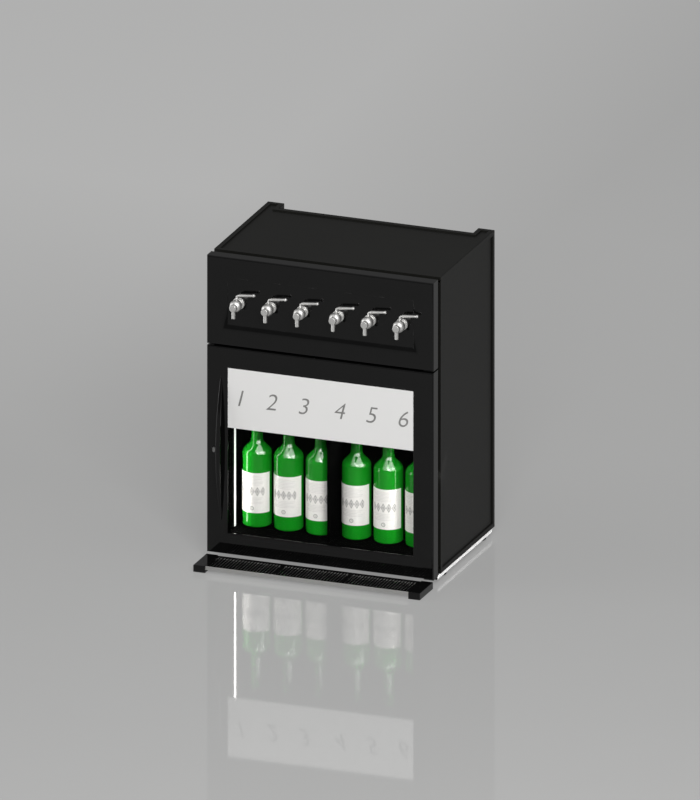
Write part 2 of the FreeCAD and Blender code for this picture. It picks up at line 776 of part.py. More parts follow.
def wine_line(x):
    """Line from the bottom of a bottle, through its stopper and the ceiling, to the tail of its tap."""
    tail = PLATE_FRONT + TAIL_REACH
    points = [
        Vector(x, BOTTLE_Y, BOTTLE_BASE + 24),
        Vector(x, BOTTLE_Y, TAP_Z),
        Vector(x, tail, TAP_Z),
    ]
    return line_of(points, WINE_TUBE)


def gas_line(x):
    """Line from the rail to a stopper's nipple."""
    top = BOTTLE_BASE + BOTTLE_HEIGHT + 22
    points = [
        Vector(x, RAIL_Y - RAIL_RADIUS - 6, RAIL_Z),
        Vector(x, BOTTLE_Y + 9, RAIL_Z),
        Vector(x, BOTTLE_Y + 9, top),
    ]
    return line_of(points, GAS_TUBE)


def gas_lines():
    """The six gas lines, the feed from the regulator to the rail, and the supply from the rear
    fitting."""
    feed = line_of(
        [
            Vector(FEED_X, 118, REGULATOR_Z),
            Vector(FEED_X, RAIL_Y, REGULATOR_Z),
            Vector(FEED_X, RAIL_Y, RAIL_Z + RAIL_RADIUS + 6),
        ],
        GAS_TUBE,
    )
    supply = rod(Vector(FEED_X, 182, REGULATOR_Z), Vector(FEED_X, 232, REGULATOR_Z), GAS_TUBE)
    return group([*[gas_line(x) for x in STATIONS], feed, supply])


def gas_manifold():
    """Rail across the chamber's rear wall, with a nipple for each bottle, one for the feed, and two
    clips."""
    rail = rod(Vector(-240, RAIL_Y, RAIL_Z), Vector(240, RAIL_Y, RAIL_Z), RAIL_RADIUS)
    nipples = [
        rod(Vector(x, RAIL_Y, RAIL_Z), Vector(x, RAIL_Y - RAIL_RADIUS - 6, RAIL_Z), GAS_TUBE) for x in STATIONS
    ]
    feed = rod(Vector(FEED_X, RAIL_Y, RAIL_Z), Vector(FEED_X, RAIL_Y, RAIL_Z + RAIL_RADIUS + 6), GAS_TUBE)
    clips = [
        block((x - 7, x + 7), (RAIL_Y, CHAMBER_REAR), (RAIL_Z - 11, RAIL_Z + 11)) for x in (-90, 90)
    ]
    return fused([rail, *nipples, feed, *clips])


def gas_regulator():
    """Regulator on a bracket, and the bulkhead fitting in the rear panel."""
    axis = Vector(0, 1, 0)
    inline = turned(
        [(0, 0), (4, 0), (5, 8), (9, 8), (9, 14), (14, 16), (14, 48), (9, 50), (9, 56), (5, 56), (4, 64), (0, 64)],
        Vector(FEED_X, 118, REGULATOR_Z),
        axis,
    )
    bonnet = turned(
        [(0, 0), (13, 0), (13, 4), (19, 6), (19, 12), (15, 15), (12, 34), (9, 36), (0, 36)],
        Vector(FEED_X, 150, REGULATOR_Z + 8),
        Vector(0, 0, 1),
    )
    bracket = block((FEED_X - 12, FEED_X + 12), (146, 154), (FOAM_TOP - 100, REGULATOR_Z - 8))
    foot = block((FEED_X - 12, FEED_X + 12), (FOAM_REAR, 154), (FOAM_TOP - 100, FOAM_TOP - 97))
    fitting = turned(
        [(4.05, -23.5), (8, -23.5), (8, 2), (11.5, 2), (11.5, 4), (10.5, 4.5), (4.05, 4.5)],
        Vector(FEED_X, REAR_PANEL_Y, REGULATOR_Z),
        axis,
    )
    return group([fused([inline, bonnet, bracket, foot]), fitting])


# Machinery behind and above the chamber


def compressor():
    """Hermetic compressor on a plate with rubber feet."""
    can = turned(
        [
            (0, 18),
            (50, 18),
            ((68, 26), (74, 44)),
            (78, 60),
            (78, 66),
            (74, 70),
            (74, 116),
            ((60, 149), (14, 158)),
            (0, 158),
        ],
        COMPRESSOR_FOOT,
        Vector(0, 0, 1),
    )
    x, y = COMPRESSOR_FOOT.x, COMPRESSOR_FOOT.y
    plate = block((x - 70, x + 70), (y - 60, y + 60), (DECK_TOP + 12, DECK_TOP + 18.5))
    places = [Vector(x + across, y + back, DECK_TOP) for across in both(58) for back in both(48)]
    feet = [rod(place, place + Vector(0, 0, 13), 9) for place in places]
    return fused([can, plate, *feet])


def condenser():
    """Finned condenser with the fan's shroud and motor in front of it."""
    fins = [block((x, x + 1), (196, 236), (DECK_TOP, 300)) for x in range(0, 191, 19)]
    tubes = [rod(Vector(-4, y, z), Vector(196, y, z), 4) for y in (206, 226) for z in (70, 170, 270)]
    shroud = block((-4, 196), (160, 196), (DECK_TOP, 300))
    hollow = block((-2, 194), (162, 196), (DECK_TOP + 2, 298))
    mouth = rod(FAN_CENTRE - Vector(0, 20, 0), FAN_CENTRE, 82)
    motor = turned(
        [(0, 0), (22, 0), (24, 2), (24, 26), (8, 30), (8, 32), (3, 32), (3, 46), (0, 46)],
        Vector(FAN_CENTRE.x, 128, FAN_CENTRE.z),
        Vector(0, 1, 0),
    )
    span = (FAN_CENTRE.z - 6, FAN_CENTRE.z + 6)
    bar = block((FAN_CENTRE.x - 90, FAN_CENTRE.x + 90), (150, 154), span)
    middles = [FAN_CENTRE.x + side for side in both(88)]
    ends = [block((middle - 2, middle + 2), (150, 161), span) for middle in middles]
    return fused([shroud.cut([hollow, mouth]), *fins, *tubes, bar, *ends, motor])


def fan_rotor():
    """Fan with five twisted blades on a hub that runs on the motor's shaft."""
    axis = Vector(0, 1, 0)
    foot = Vector(FAN_CENTRE.x, 162, FAN_CENTRE.z)
    hub = turned([(3 + RUNNING, 0), (20, 0), (20, 18), (18, 20), (3 + RUNNING, 20)], foot, axis)
    blades = []
    for i in range(5):
        blade = fan_blade()
        blade.rotate(foot, axis, 72 * i)
        blades.append(blade)
    bore = rod(foot - Vector(0, 1, 0), foot + Vector(0, 30, 0), 3 + RUNNING)
    return fused([hub, *blades]).cut(bore)


def fan_blade():
    """One blade: a thin section at the hub, longer and flatter at the tip."""
    sections = []
    for radius, chord, pitch in ((14, 22, 42), (75, 44, 20)):
        angle = math.radians(pitch)
        along = Vector(math.cos(angle), math.sin(angle), 0)
        thick = Vector(-math.sin(angle), math.cos(angle), 0)
        middle = Vector(FAN_CENTRE.x, 172, FAN_CENTRE.z + radius)
        signs = ((-1, -1), (1, -1), (1, 1), (-1, 1))
        corners = [middle + along * (chord * a / 2) + thick * (0.8 * b) for a, b in signs]
        sections.append(Part.makePolygon([*corners, corners[0]]))
    return Part.makeLoft(sections, True, True)


def evaporator():
    """Cold plate on the back of the liner, with its serpentine tube."""
    y = CHAMBER_REAR + 7
    step = 64
    levels = [COIL_LOW + step * i for i in range(6)]
    plate = block(both(185), (CHAMBER_REAR + LINER, CHAMBER_REAR + 4), (115, 495))
    runs = [rod(Vector(-COIL_HALF, y, z), Vector(COIL_HALF, y, z), 3.2) for z in levels]
    turns = [COIL_HALF * side for side in (1, -1, 1, -1, 1)]
    rises = [rod(Vector(x, y, z), Vector(x, y, z + step), 3.2) for z, x in zip(levels, turns)]
    knuckles = [Part.makeSphere(3.2, Vector(x, y, z)) for x in both(COIL_HALF) for z in levels]
    return fused([plate, *runs, *rises, *knuckles])


def refrigerant_lines():
    """Suction line from the evaporator to the compressor, liquid line from the condenser to the
    evaporator, and the discharge line between the compressor and the condenser."""
    y = CHAMBER_REAR + 10.2
    suction = line_of(
        [
            Vector(-COIL_HALF, y, COIL_LOW),
            Vector(-COIL_HALF, 104, COIL_LOW),
            Vector(-COIL_HALF, 106, 225),
            COMPRESSOR_FOOT + Vector(0, 0, 188),
            COMPRESSOR_FOOT + Vector(0, 0, 156),
        ],
        3.0,
    )
    liquid = line_of(
        [
            Vector(COIL_HALF, y, COIL_LOW),
            Vector(COIL_HALF, 104, COIL_LOW),
            Vector(COIL_HALF, 106, 325),
            Vector(COIL_HALF, 206, 327),
            Vector(COIL_HALF, 206, 300),
        ],
        3.0,
    )
    discharge = line_of(
        [Vector(-100, 187, 188), Vector(-100, 189, 250), Vector(-40, 226, 270), Vector(-4, 226, 270)],
        3.0,
    )
    lines = [line.cut(compressor()) for line in (suction, discharge)]
    lines.append(liquid)
    return group(lines)


def control_board():
    """Circuit board of the thermostat and the lights, on four spacers above the chamber's foam."""
    top = FOAM_TOP + 12 + SHEET
    board = block((-270, -130), (-26, 70), (FOAM_TOP + 12, top))
    places = [(x, y) for x in (-262, -138) for y in (-18, 62)]
    spacers = [rod(Vector(x, y, FOAM_TOP), Vector(x, y, FOAM_TOP + 12), 4) for x, y in places]
    transformer = block((-255, -215), (-10, 30), (top, top + 32))
    relays = [block((x, x + 20), (-20, 10), (top, top + 16)) for x in (-200, -170)]
    terminals = block((-205, -145), (48, 60), (top, top + 12))
    capacitors = [rod(Vector(x, 28, top - 1), Vector(x, 28, top + 24), 8) for x in (-195, -172, -149)]
    return fused([board, *spacers, transformer, *relays, terminals, *capacitors])


def power_inlet():
    """Three-pin inlet in the rear panel."""
    body = block((INLET_X - 14, INLET_X + 14), (230, 257.5), (INLET_Z - 10, INLET_Z + 10))
    flange = block((INLET_X - 24, INLET_X + 24), (257.5, 259.8), (INLET_Z - 12, INLET_Z + 12))
    well = block((INLET_X - 12, INLET_X + 12), (240, 261), (INLET_Z - 8, INLET_Z + 8))
    pins = [
        block((INLET_X + x - 1, INLET_X + x + 1), (239, 256), (INLET_Z + z - 2.5, INLET_Z + z + 2.5))
        for x, z in ((-7, -2), (0, 2), (7, -2))
    ]
    return fused([body.fuse(flange).cut(well), *pins])


# Drip tray


def trough():
    """The drip pan's outside: a shallow box with a lip up its front."""
    half = HALF_WIDTH - CAP_WIDTH + CAP_GRIP
    front = TROUGH_Y[0]
    box = block(both(half), TROUGH_Y, (TROUGH_LOW, GRID_SEAT))
    return box.fuse(block(both(half), (front, front + TROUGH_SHEET), (TROUGH_LOW, TROUGH_LIP)))


def tray_end_caps():
    """Moulded end caps that the tray stands on, each with a socket for the drip pan."""
    cap = block((HALF_WIDTH - CAP_WIDTH, HALF_WIDTH), (TRAY_FRONT, TRAY_REAR), (0, CAP_HEIGHT))
    upper = [edge for edge in cap.Edges if all(abs(end.Point.z - CAP_HEIGHT) < 0.01 for end in edge.Vertexes)]
    return group(pair(cap.makeChamfer(0.8, upper).cut(trough())))


def drip_pan():
    """Steel pan held between the end caps, with its rear edge turned in under the grids."""
    inside_x = both(HALF_WIDTH - CAP_WIDTH + CAP_GRIP - TROUGH_SHEET)
    front, rear = widened(TROUGH_Y, -TROUGH_SHEET)
    room = block(inside_x, (front, rear), (TROUGH_LOW + TROUGH_SHEET, GRID_SEAT - TROUGH_SHEET))
    mouth = block(inside_x, (front, TROUGH_FOLD), (GRID_SEAT - 2 * TROUGH_SHEET, GRID_SEAT + 1))
    return trough().cut([room, mouth])


def grid(middle, half):
    """One lift-out grid with slots from front to back."""
    plate = block((middle - half, middle + half), GRID_Y, (GRID_SEAT + 0.1, CAP_HEIGHT))
    slots = []
    for i in range(SLOT_COUNT):
        x = middle + (i - (SLOT_COUNT - 1) / 2) * SLOT_PITCH
        slots.append(block((x - SLOT_WIDTH / 2, x + SLOT_WIDTH / 2), SLOT_Y, (0, CAP_HEIGHT + 1)))
    return plate.cut(slots)


def nodes():
    """Every node's name and shape."""
    grid_edge = HALF_WIDTH - CAP_WIDTH - 0.3
    outer_middle = (GRID_HALF + grid_edge) / 2
    outer_half = (grid_edge - GRID_HALF) / 2 - 0.15
    shapes = {
        "base_pan": base_pan(),
        "levelling_feet": levelling_feet(),
        "base_frame": base_frame(),
        "side_panel_left": mirrored(side_panel()),
        "side_panel_right": side_panel(),
        "rear_posts": group(pair(rear_post())),
        "top_panel": top_panel(),
        "rear_panel": rear_panel(),
        "rear_panel_screws": rear_panel_screws(),
        "chamber_liner": chamber_liner(),
        "insulation": insulation(),
        "bottle_shelf": bottle_shelf(),
        "chamber_divider": chamber_divider(),
        "light_strips": light_strips(),
        "tap_panel_spacer": tap_panel_spacer(),
        "tap_panel_frame": tap_panel_frame(),
        "tap_panel_plate": tap_panel_plate(),
        "door_frame": door_frame(),
        "door_glass": door_glass(),
        "sign_panel": sign_panel(),
        "door_gasket": door_gasket(),
        "door_handle": door_handle(),
        "lock_housing": lock_housing(),
        "lock_barrel": lock_barrel(),
        "hinge_brackets": hinge_brackets(),
        "bottle_stoppers": group([stopper(x) for x in STATIONS]),
        "wine_lines": group([wine_line(x) for x in STATIONS]),
        "gas_lines": gas_lines(),
        "gas_manifold": gas_manifold(),
        "gas_regulator": gas_regulator(),
        "compressor": compressor(),
        "condenser": condenser(),
        "fan_rotor": fan_rotor(),
        "evaporator": evaporator(),
        "refrigerant_lines": refrigerant_lines(),
        "control_board": control_board(),
        "power_inlet": power_inlet(),
        "tray_end_caps": tray_end_caps(),
        "drip_pan": drip_pan(),
        "grid_left": grid(-outer_middle, outer_half),
        "grid_centre": grid(0, GRID_HALF - 0.15),
        "grid_right": grid(outer_middle, outer_half),
    }
    for number, x in enumerate(STATIONS, 1):
        shapes[f"tap_body_{number}"] = tap_body(x)
        shapes[f"tap_lever_{number}"] = tap_lever(x)
        shapes[f"bottle_{number}"] = bottle(x)
    return shapes


os.makedirs("parts", exist_ok=True)
for name, shape in nodes().items():
    assert shape.isValid(), name
    shape.exportStep(f"parts/{name}.step")
    print(f"{name:20s} solids {len(shape.Solids):3d}  volume {shape.Volume / 1000:9.1f} cm3")
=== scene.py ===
"""Looks of the wine preservation dispenser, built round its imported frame.

Every piece is in metres in the frame's own coordinates: the origin is the middle of the footprint on the
floor, +Z is up and the front faces -Y. Each sub-assembly is a class that builds its meshes and dresses them,
and each finish is a frozen dataclass that makes one material.
"""

import json
import logging
import math
from dataclasses import dataclass, replace
from enum import Enum
from typing import Any, Iterable, Sequence

import bmesh
import bpy
from mathutils import Matrix, Vector

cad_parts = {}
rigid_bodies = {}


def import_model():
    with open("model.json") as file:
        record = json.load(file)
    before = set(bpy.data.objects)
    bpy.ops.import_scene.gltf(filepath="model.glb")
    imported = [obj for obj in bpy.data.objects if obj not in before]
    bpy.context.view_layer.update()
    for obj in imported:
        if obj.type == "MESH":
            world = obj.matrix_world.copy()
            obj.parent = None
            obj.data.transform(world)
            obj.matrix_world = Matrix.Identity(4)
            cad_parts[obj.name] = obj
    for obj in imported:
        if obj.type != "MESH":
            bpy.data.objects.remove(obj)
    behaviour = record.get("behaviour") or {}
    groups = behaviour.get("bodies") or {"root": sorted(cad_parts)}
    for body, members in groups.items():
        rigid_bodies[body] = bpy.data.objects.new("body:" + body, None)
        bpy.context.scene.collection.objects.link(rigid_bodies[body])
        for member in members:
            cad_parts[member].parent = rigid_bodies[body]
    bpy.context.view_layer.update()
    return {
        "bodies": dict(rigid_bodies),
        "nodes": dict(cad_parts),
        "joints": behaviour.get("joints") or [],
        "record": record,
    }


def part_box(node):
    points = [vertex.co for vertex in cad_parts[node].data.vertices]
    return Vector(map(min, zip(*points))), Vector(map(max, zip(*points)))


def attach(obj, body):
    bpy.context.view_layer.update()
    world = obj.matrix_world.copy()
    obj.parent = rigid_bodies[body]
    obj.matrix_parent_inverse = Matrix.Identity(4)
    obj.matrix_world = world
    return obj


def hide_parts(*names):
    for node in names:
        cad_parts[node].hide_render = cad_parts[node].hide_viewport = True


Triple = tuple[float, float, float]
Colour = Triple
Pair = tuple[float, float]
Corner = Pair | tuple[Pair, Pair]
Socket = bpy.types.NodeSocket
Mesh = bpy.types.Mesh
Object = bpy.types.Object

LOG = logging.getLogger("dispenser")
MM = 0.001
MERGE = 1e-6
FLAT_ANGLE = math.radians(1)
SMOOTH_ANGLE = math.radians(32)
EDGE_STEPS = 3
ARC_STEPS = 8
STATIONS = range(1, 7)
NOISE_SPAN: Pair = (0.3, 0.7)
SORT_DIGITS = 4
EVEN: Triple = (1.0, 1.0, 1.0)
BLACK: Colour = (0.0, 0.0, 0.0)

UP = Vector((0, 0, 1))
FORWARD = Vector((0, -1, 0))
REARWARD = Vector((0, 1, 0))
ACROSS = Vector((1, 0, 0))
STOOD_UP = Matrix.Rotation(math.pi / 2, 4, "X")


class Slot(Enum):
    """The record's material slots."""

    GLOSS_BLACK = "gloss_black"
    CASE_BLACK = "case_black"
    CHAMBER_BLACK = "chamber_black"
    GALVANISED = "galvanised"
    STAINLESS = "stainless"
    SATIN_CHROME = "satin_chrome"
    LOCK_CHROME = "lock_chrome"
    DOOR_GLASS = "door_glass"
    SIGN_WHITE = "sign_white"
    SEAL_RUBBER = "seal_rubber"
    FOOT_RUBBER = "foot_rubber"
    FOAM = "foam"
    LIGHT_DIFFUSER = "light_diffuser"
    BOTTLE_GLASS = "bottle_glass"
    STOPPER_PLASTIC = "stopper_plastic"
    CLEAR_TUBE = "clear_tube"
    GAS_TUBE = "gas_tube"
    ANODISED = "anodised"
    BRASS_FITTING = "brass_fitting"
    MACHINE_BLACK = "machine_black"
    FIN_METAL = "fin_metal"
    COPPER_LINE = "copper_line"
    BOARD_GREEN = "board_green"
    FAN_PLASTIC = "fan_plastic"
    SCREW_STEEL = "screw_steel"


class Grain(Enum):
    """Which way a brushed surface is brushed."""

    NONE = EVEN
    ACROSS = (0.02, 1.0, 1.0)
    UPRIGHT = (1.0, 1.0, 0.02)


class Detail(Enum):
    """How many finer layers a noise pattern has."""

    WAVE = 1.0
    STREAK = 2.0
    PATCH = 3.0
    FINE = 4.0


# Node graphs


class Graph:
    """Adds nodes to one node tree and wires them."""

    def __init__(self, tree: bpy.types.NodeTree) -> None:
        """Keeps the tree.

        Args:
            tree: The node tree to build in.
        """
        self.tree = tree

    def fill(self, node: bpy.types.Node, values: dict[Any, Any]) -> None:
        """Feeds a node's inputs.

        Args:
            node: The node.
            values: For each input, by name or number, a plain value or the socket that feeds it.
        """
        for key, value in values.items():
            if isinstance(value, Socket):
                self.tree.links.new(value, node.inputs[key])
            else:
                node.inputs[key].default_value = value

    def add(self, kind: str, values: dict[Any, Any] | None = None, **settings: Any) -> bpy.types.Node:
        """Adds a node.

        Args:
            kind: The node's Blender type.
            values: For each input, by name or number, a plain value or the socket that feeds it.
            settings: The node's own properties.

        Returns:
            The new node.
        """
        node = self.tree.nodes.new(kind)
        for name, value in settings.items():
            setattr(node, name, value)
        self.fill(node, values or {})
        return node

    def math(self, operation: str, *terms: Any) -> Socket:
        """Adds a Math node on the given terms and returns its result."""
        return self.add("ShaderNodeMath", dict(enumerate(terms)), operation=operation).outputs[0]

    def chained(self, operation: str, first: Any, *others: Any) -> Socket:
        """Works through any number of terms with one operation.

        Args:
            operation: The Math node's operation.
            first: The first term.
            others: The terms that follow.

        Returns:
            The result.
        """
        for other in others:
            first = self.math(operation, first, other)
        return first

    def near(self, value: Any, middle: float, reach: float) -> Socket:
        """Returns 1 where value is within reach of middle, and 0 elsewhere."""
        return self.math("COMPARE", value, middle, reach)

    def split(self, vector: Socket) -> Any:
        """Returns the three parts of a vector."""
        return self.add("ShaderNodeSeparateXYZ", {0: vector}).outputs

    def object_place(self, stretch: Triple = EVEN) -> Socket:
        """Reads Object coordinates.

        Args:
            stretch: How far a pattern is stretched along each axis.

        Returns:
            The coordinates.
        """
        place = self.add("ShaderNodeTexCoord").outputs["Object"]
        if stretch == EVEN:
            return place
        return self.add("ShaderNodeMapping", {"Vector": place, "Scale": stretch}).outputs[0]

    def noise(
        self, size: float, detail: Detail = Detail.PATCH, stretch: Triple = EVEN
    ) -> Socket:
        """Adds a noise pattern.

        Args:
            size: Size of its patches, in metres.
            detail: How fine it is.
            stretch: How far it is stretched along each axis.

        Returns:
            The noise value, about 0.5 in the middle.
        """
        values = {"Vector": self.object_place(stretch), "Scale": 1 / size, "Detail": detail.value}
        return self.add("ShaderNodeTexNoise", values).outputs[0]

    def cells(self, size: float) -> Any:
        """Adds a pattern of cells of the given size and returns its outputs."""
        values = {"Vector": self.object_place(), "Scale": 1 / size}
        return self.add("ShaderNodeTexVoronoi", values).outputs

    def ranged(self, value: Socket, source: Pair, target: Pair) -> Socket:
        """Maps a value from one span to another.

        Args:
            value: The value.
            source: Where its span starts and ends.
            target: What the two ends become.

        Returns:
            The mapped value, which stays within the target.
        """
        ends = dict(zip(("From Min", "From Max", "To Min", "To Max"), (*source, *target)))
        return self.add("ShaderNodeMapRange", {"Value": value, **ends}).outputs[0]

    def about(self, noise: Socket, level: float, uneven: float) -> Socket:
        """Makes a noise value vary about a level.

        Args:
            noise: The noise value.
            level: The level.
            uneven: How far it strays from the level, as a share of it.

        Returns:
            The varied level.
        """
        return self.ranged(noise, NOISE_SPAN, (level * (1 - uneven), level * (1 + uneven)))

    def mixed(self, share: Any, first: Any, second: Any) -> Socket:
        """Mixes two colours.

        Args:
            share: How much there is of the second one.
            first: A colour, or a socket that gives one.
            second: The other, likewise.

        Returns:
            The mixed colour.
        """
        ends = [
            value if isinstance(value, Socket) else (*value, 1.0) for value in (first, second)
        ]
        values = {0: share, 6: ends[0], 7: ends[1]}
        return self.add("ShaderNodeMix", values, data_type="RGBA").outputs[2]

    def bumped(self, height: Socket, distance: float) -> Socket:
        """Returns the normal of a surface raised by height times distance."""
        values = {"Strength": 1.0, "Distance": distance, "Height": height}
        return self.add("ShaderNodeBump", values).outputs[0]


class Recipe(Graph):
    """The node graph of one material, with its shader and its output."""

    def __init__(self, material: bpy.types.Material) -> None:
        """Finds the material's shader and output.

        Args:
            material: The material.
        """
        super().__init__(material.node_tree)
        self.shader = self.tree.nodes["Principled BSDF"]
        self.output = self.tree.nodes["Material Output"]

    def surface(self, values: dict[str, Any]) -> None:
        """Feeds the shader's inputs with values or sockets."""
        self.fill(self.shader, values)


def scaled(colour: Colour, factor: float) -> Colour:
    """Returns the colour made darker or lighter by a factor."""
    return (colour[0] * factor, colour[1] * factor, colour[2] * factor)


def grey(level: float) -> Colour:
    """Returns a grey of the given level."""
    return (level, level, level)


# Finishes


@dataclass(frozen=True)
class Finish:
    """A plain moulded or painted surface: faint patches of tone, uneven gloss and a fine relief."""

    name: str
    colour: Colour
    roughness: float = 0.4
    uneven: float = 0.15
    patch: float = 0.05
    relief_size: float = 0.001
    relief: float = 0.0
    metallic: float = 0.0
    ior: float = 1.5
    grain: Grain = Grain.NONE

    def make(self) -> bpy.types.Material:
        """Makes the finish's material.

        Returns:
            The material.
        """
        material = bpy.data.materials.new(self.name)
        material.use_nodes = True
        material.diffuse_color = (*self.colour, 1.0)
        self.dress(Recipe(material))
        return material

    def tones(self) -> tuple[Colour, Colour]:
        """Returns the darkest and the lightest tone of the patches."""
        return scaled(self.colour, 1 - self.uneven), scaled(self.colour, 1 + self.uneven)

    def dress(self, recipe: Recipe) -> None:
        """Sets the shader up.

        Args:
            recipe: The material's graph.
        """
        tone = recipe.mixed(recipe.noise(self.patch), *self.tones())
        fine = recipe.noise(self.relief_size, Detail.FINE, self.grain.value)
        gloss = recipe.about(fine, self.roughness, self.uneven)
        recipe.surface({"Metallic": self.metallic, "IOR": self.ior, "Base Color": tone, "Roughness": gloss})
        if self.relief:
            recipe.surface({"Normal": recipe.bumped(fine, self.relief)})


@dataclass(frozen=True)
class Lacquer(Finish):
    """High gloss lacquer: a deep dark ground under a clear skin with a faint orange peel."""

    peel_size: float = 0.006
    peel: float = 0.000004

    def dress(self, recipe: Recipe) -> None:
        """Adds the orange peel to the plain finish.

        Args:
            recipe: The material's graph.
        """
        super().dress(recipe)
        wave = recipe.noise(self.peel_size, Detail.WAVE)
        recipe.surface({"Normal": recipe.bumped(wave, self.peel)})


@dataclass(frozen=True)
class TroughSteel(Finish):
    """Brushed steel whose inside under the grids carries painted shade in uneven patches, and whose front
    face and rear fold keep the plain colour.
    """

    trough_middle: float = -0.2234
    trough_reach: float = 0.0332
    inside: float = 0.5
    stain_size: float = 0.03
    stain_uneven: float = 0.4

    def dress(self, recipe: Recipe) -> None:
        """Paints shade, in uneven patches, over the inside of the plain finish under the grids.

        Args:
            recipe: The material's graph.
        """
        super().dress(recipe)
        # painted shade: the trough's inside under the grids is darkened in uneven patches, and the front face
        # and rear fold keep the plain colour
        depth = recipe.split(recipe.object_place())[1]
        behind = recipe.near(depth, self.trough_middle, self.trough_reach)
        painted_shade = recipe.about(recipe.noise(self.stain_size, Detail.FINE), self.inside, self.stain_uneven)
        dark = recipe.mixed(painted_shade, BLACK, self.colour)
        recipe.surface({"Base Color": recipe.mixed(behind, self.colour, dark)})


@dataclass(frozen=True)
class Zinc(Finish):
    """Zinc-coated sheet with the pale crystals of the bath."""

    crystal: float = 0.012
    crystal_shade: float = 0.93

    def dress(self, recipe: Recipe) -> None:
        """Adds the crystals to the plain finish.

        Args:
            recipe: The material's graph.
        """
        super().dress(recipe)
        crystals = recipe.cells(self.crystal)["Color"]
        shade = recipe.add("ShaderNodeSeparateColor", {0: crystals}).outputs[0]
        tone = recipe.mixed(shade, scaled(self.colour, self.crystal_shade), self.colour)
        recipe.surface({"Base Color": tone})


@dataclass(frozen=True)
class Pane(Finish):
    """Clear door glass with an anti-reflection coat: what is behind it shows, and a little of the room."""

    tint: Colour = (0.99, 0.99, 0.985)
    wipes: float = 0.5

    def dress(self, recipe: Recipe) -> None:
        """Replaces the plain shader by a see-through one under a thin reflection.

        Args:
            recipe: The material's graph.
        """
        see = recipe.add("ShaderNodeBsdfTransparent", {"Color": (*self.tint, 1.0)})
        haze = recipe.about(recipe.noise(self.patch, Detail.FINE), self.roughness, self.wipes)
        shine = recipe.add("ShaderNodeBsdfGlossy", {"Roughness": haze})
        share = recipe.add("ShaderNodeFresnel", {"IOR": self.ior}).outputs[0]
        mix = recipe.add("ShaderNodeMixShader", {0: share, 1: see.outputs[0], 2: shine.outputs[0]})
        recipe.fill(recipe.output, {"Surface": mix.outputs[0]})
        recipe.tree.nodes.remove(recipe.shader)


@dataclass(frozen=True)
class Glow(Finish):
    """Opal diffuser lit from behind by a narrow row of lamps, with painted shade on its margins beside the
    row.
    """

    strength: float = 13.0
    dimmed: float = 0.07
    middle: float = -0.0852
    reach: float = 0.0055
    lamp: Colour = (1.0, 0.985, 0.96)
    unlit: float = 0.01

    def dress(self, recipe: Recipe) -> None:
        """Adds the light, which shows only over the row of lamps.

        Args:
            recipe: The material's graph.
        """
        super().dress(recipe)
        depth = recipe.split(recipe.object_place())[1]
        lit = recipe.near(depth, self.middle, self.reach)
        seen = recipe.add("ShaderNodeLightPath").outputs["Is Camera Ray"]
        light = recipe.mixed(lit, BLACK, recipe.mixed(seen, self.lamp, grey(self.dimmed)))
        # painted shade: beside the row of lamps the diffuser's own colour is darkened to near black
        base = recipe.mixed(lit, scaled(self.colour, self.unlit), self.colour)
        recipe.surface({"Emission Color": light, "Base Color": base, "Emission Strength": self.strength})


@dataclass(frozen=True)
class BottleGlass(Finish):
    """Bottle glass: saturated green in its body, darker where the wall is seen edge on, with faint drawn
    streaks."""

    skin: float = 0.1
    skin_roughness: float = 0.03
    streak: Triple = (1.0, 1.0, 0.08)
    edge_blend: float = 0.35
    edge_shade: float = 0.85

    def dress(self, recipe: Recipe) -> None:
        """Sets the body colour, the streaks and the polished skin.

        Args:
            recipe: The material's graph.
        """
        streaks = recipe.noise(self.patch, Detail.STREAK, self.streak)
        body = recipe.mixed(streaks, *self.tones())
        edge = recipe.add("ShaderNodeLayerWeight", {"Blend": self.edge_blend}).outputs["Facing"]
        tone = recipe.mixed(edge, body, scaled(self.colour, self.edge_shade))
        recipe.surface({"IOR": self.ior, "Coat Weight": self.skin, "Coat Roughness": self.skin_roughness})
        recipe.surface({"Base Color": tone, "Roughness": self.roughness})
        recipe.surface({"Normal": recipe.bumped(streaks, self.relief)})


@dataclass(frozen=True)
class ClearTube(Finish):
    """Soft see-through tube."""

    opacity: float = 0.5

    def dress(self, recipe: Recipe) -> None:
        """Makes the plain finish see-through."""
        super().dress(recipe)
        recipe.surface({"Alpha": self.opacity})


@dataclass(frozen=True)
class Foam(Finish):
    """Cut foam with open cells."""

    def dress(self, recipe: Recipe) -> None:
        """Adds the cells to the plain finish."""
        super().dress(recipe)
        recipe.surface({"Normal": recipe.bumped(recipe.cells(self.relief_size)["Distance"], self.relief)})


@dataclass(frozen=True)
class Board(Finish):
    """Circuit board under green resist, with paler tracks."""

    field: float = 0.004
    field_tone: float = 1.3
    track: float = 0.08
    track_tone: float = 2.4

    def dress(self, recipe: Recipe) -> None:
        """Adds the tracks to the plain finish.

        Args:
            recipe: The material's graph.
        """
        super().dress(recipe)
        values = {
            "Vector": recipe.object_place(),
            "Color1": (*self.colour, 1.0),
            "Color2": (*scaled(self.colour, self.field_tone), 1.0),
            "Mortar": (*scaled(self.colour, self.track_tone), 1.0),
            "Scale": 1 / self.field,
            "Mortar Size": self.track,
        }
        recipe.surface({"Base Color": recipe.add("ShaderNodeTexBrick", values).outputs["Color"]})


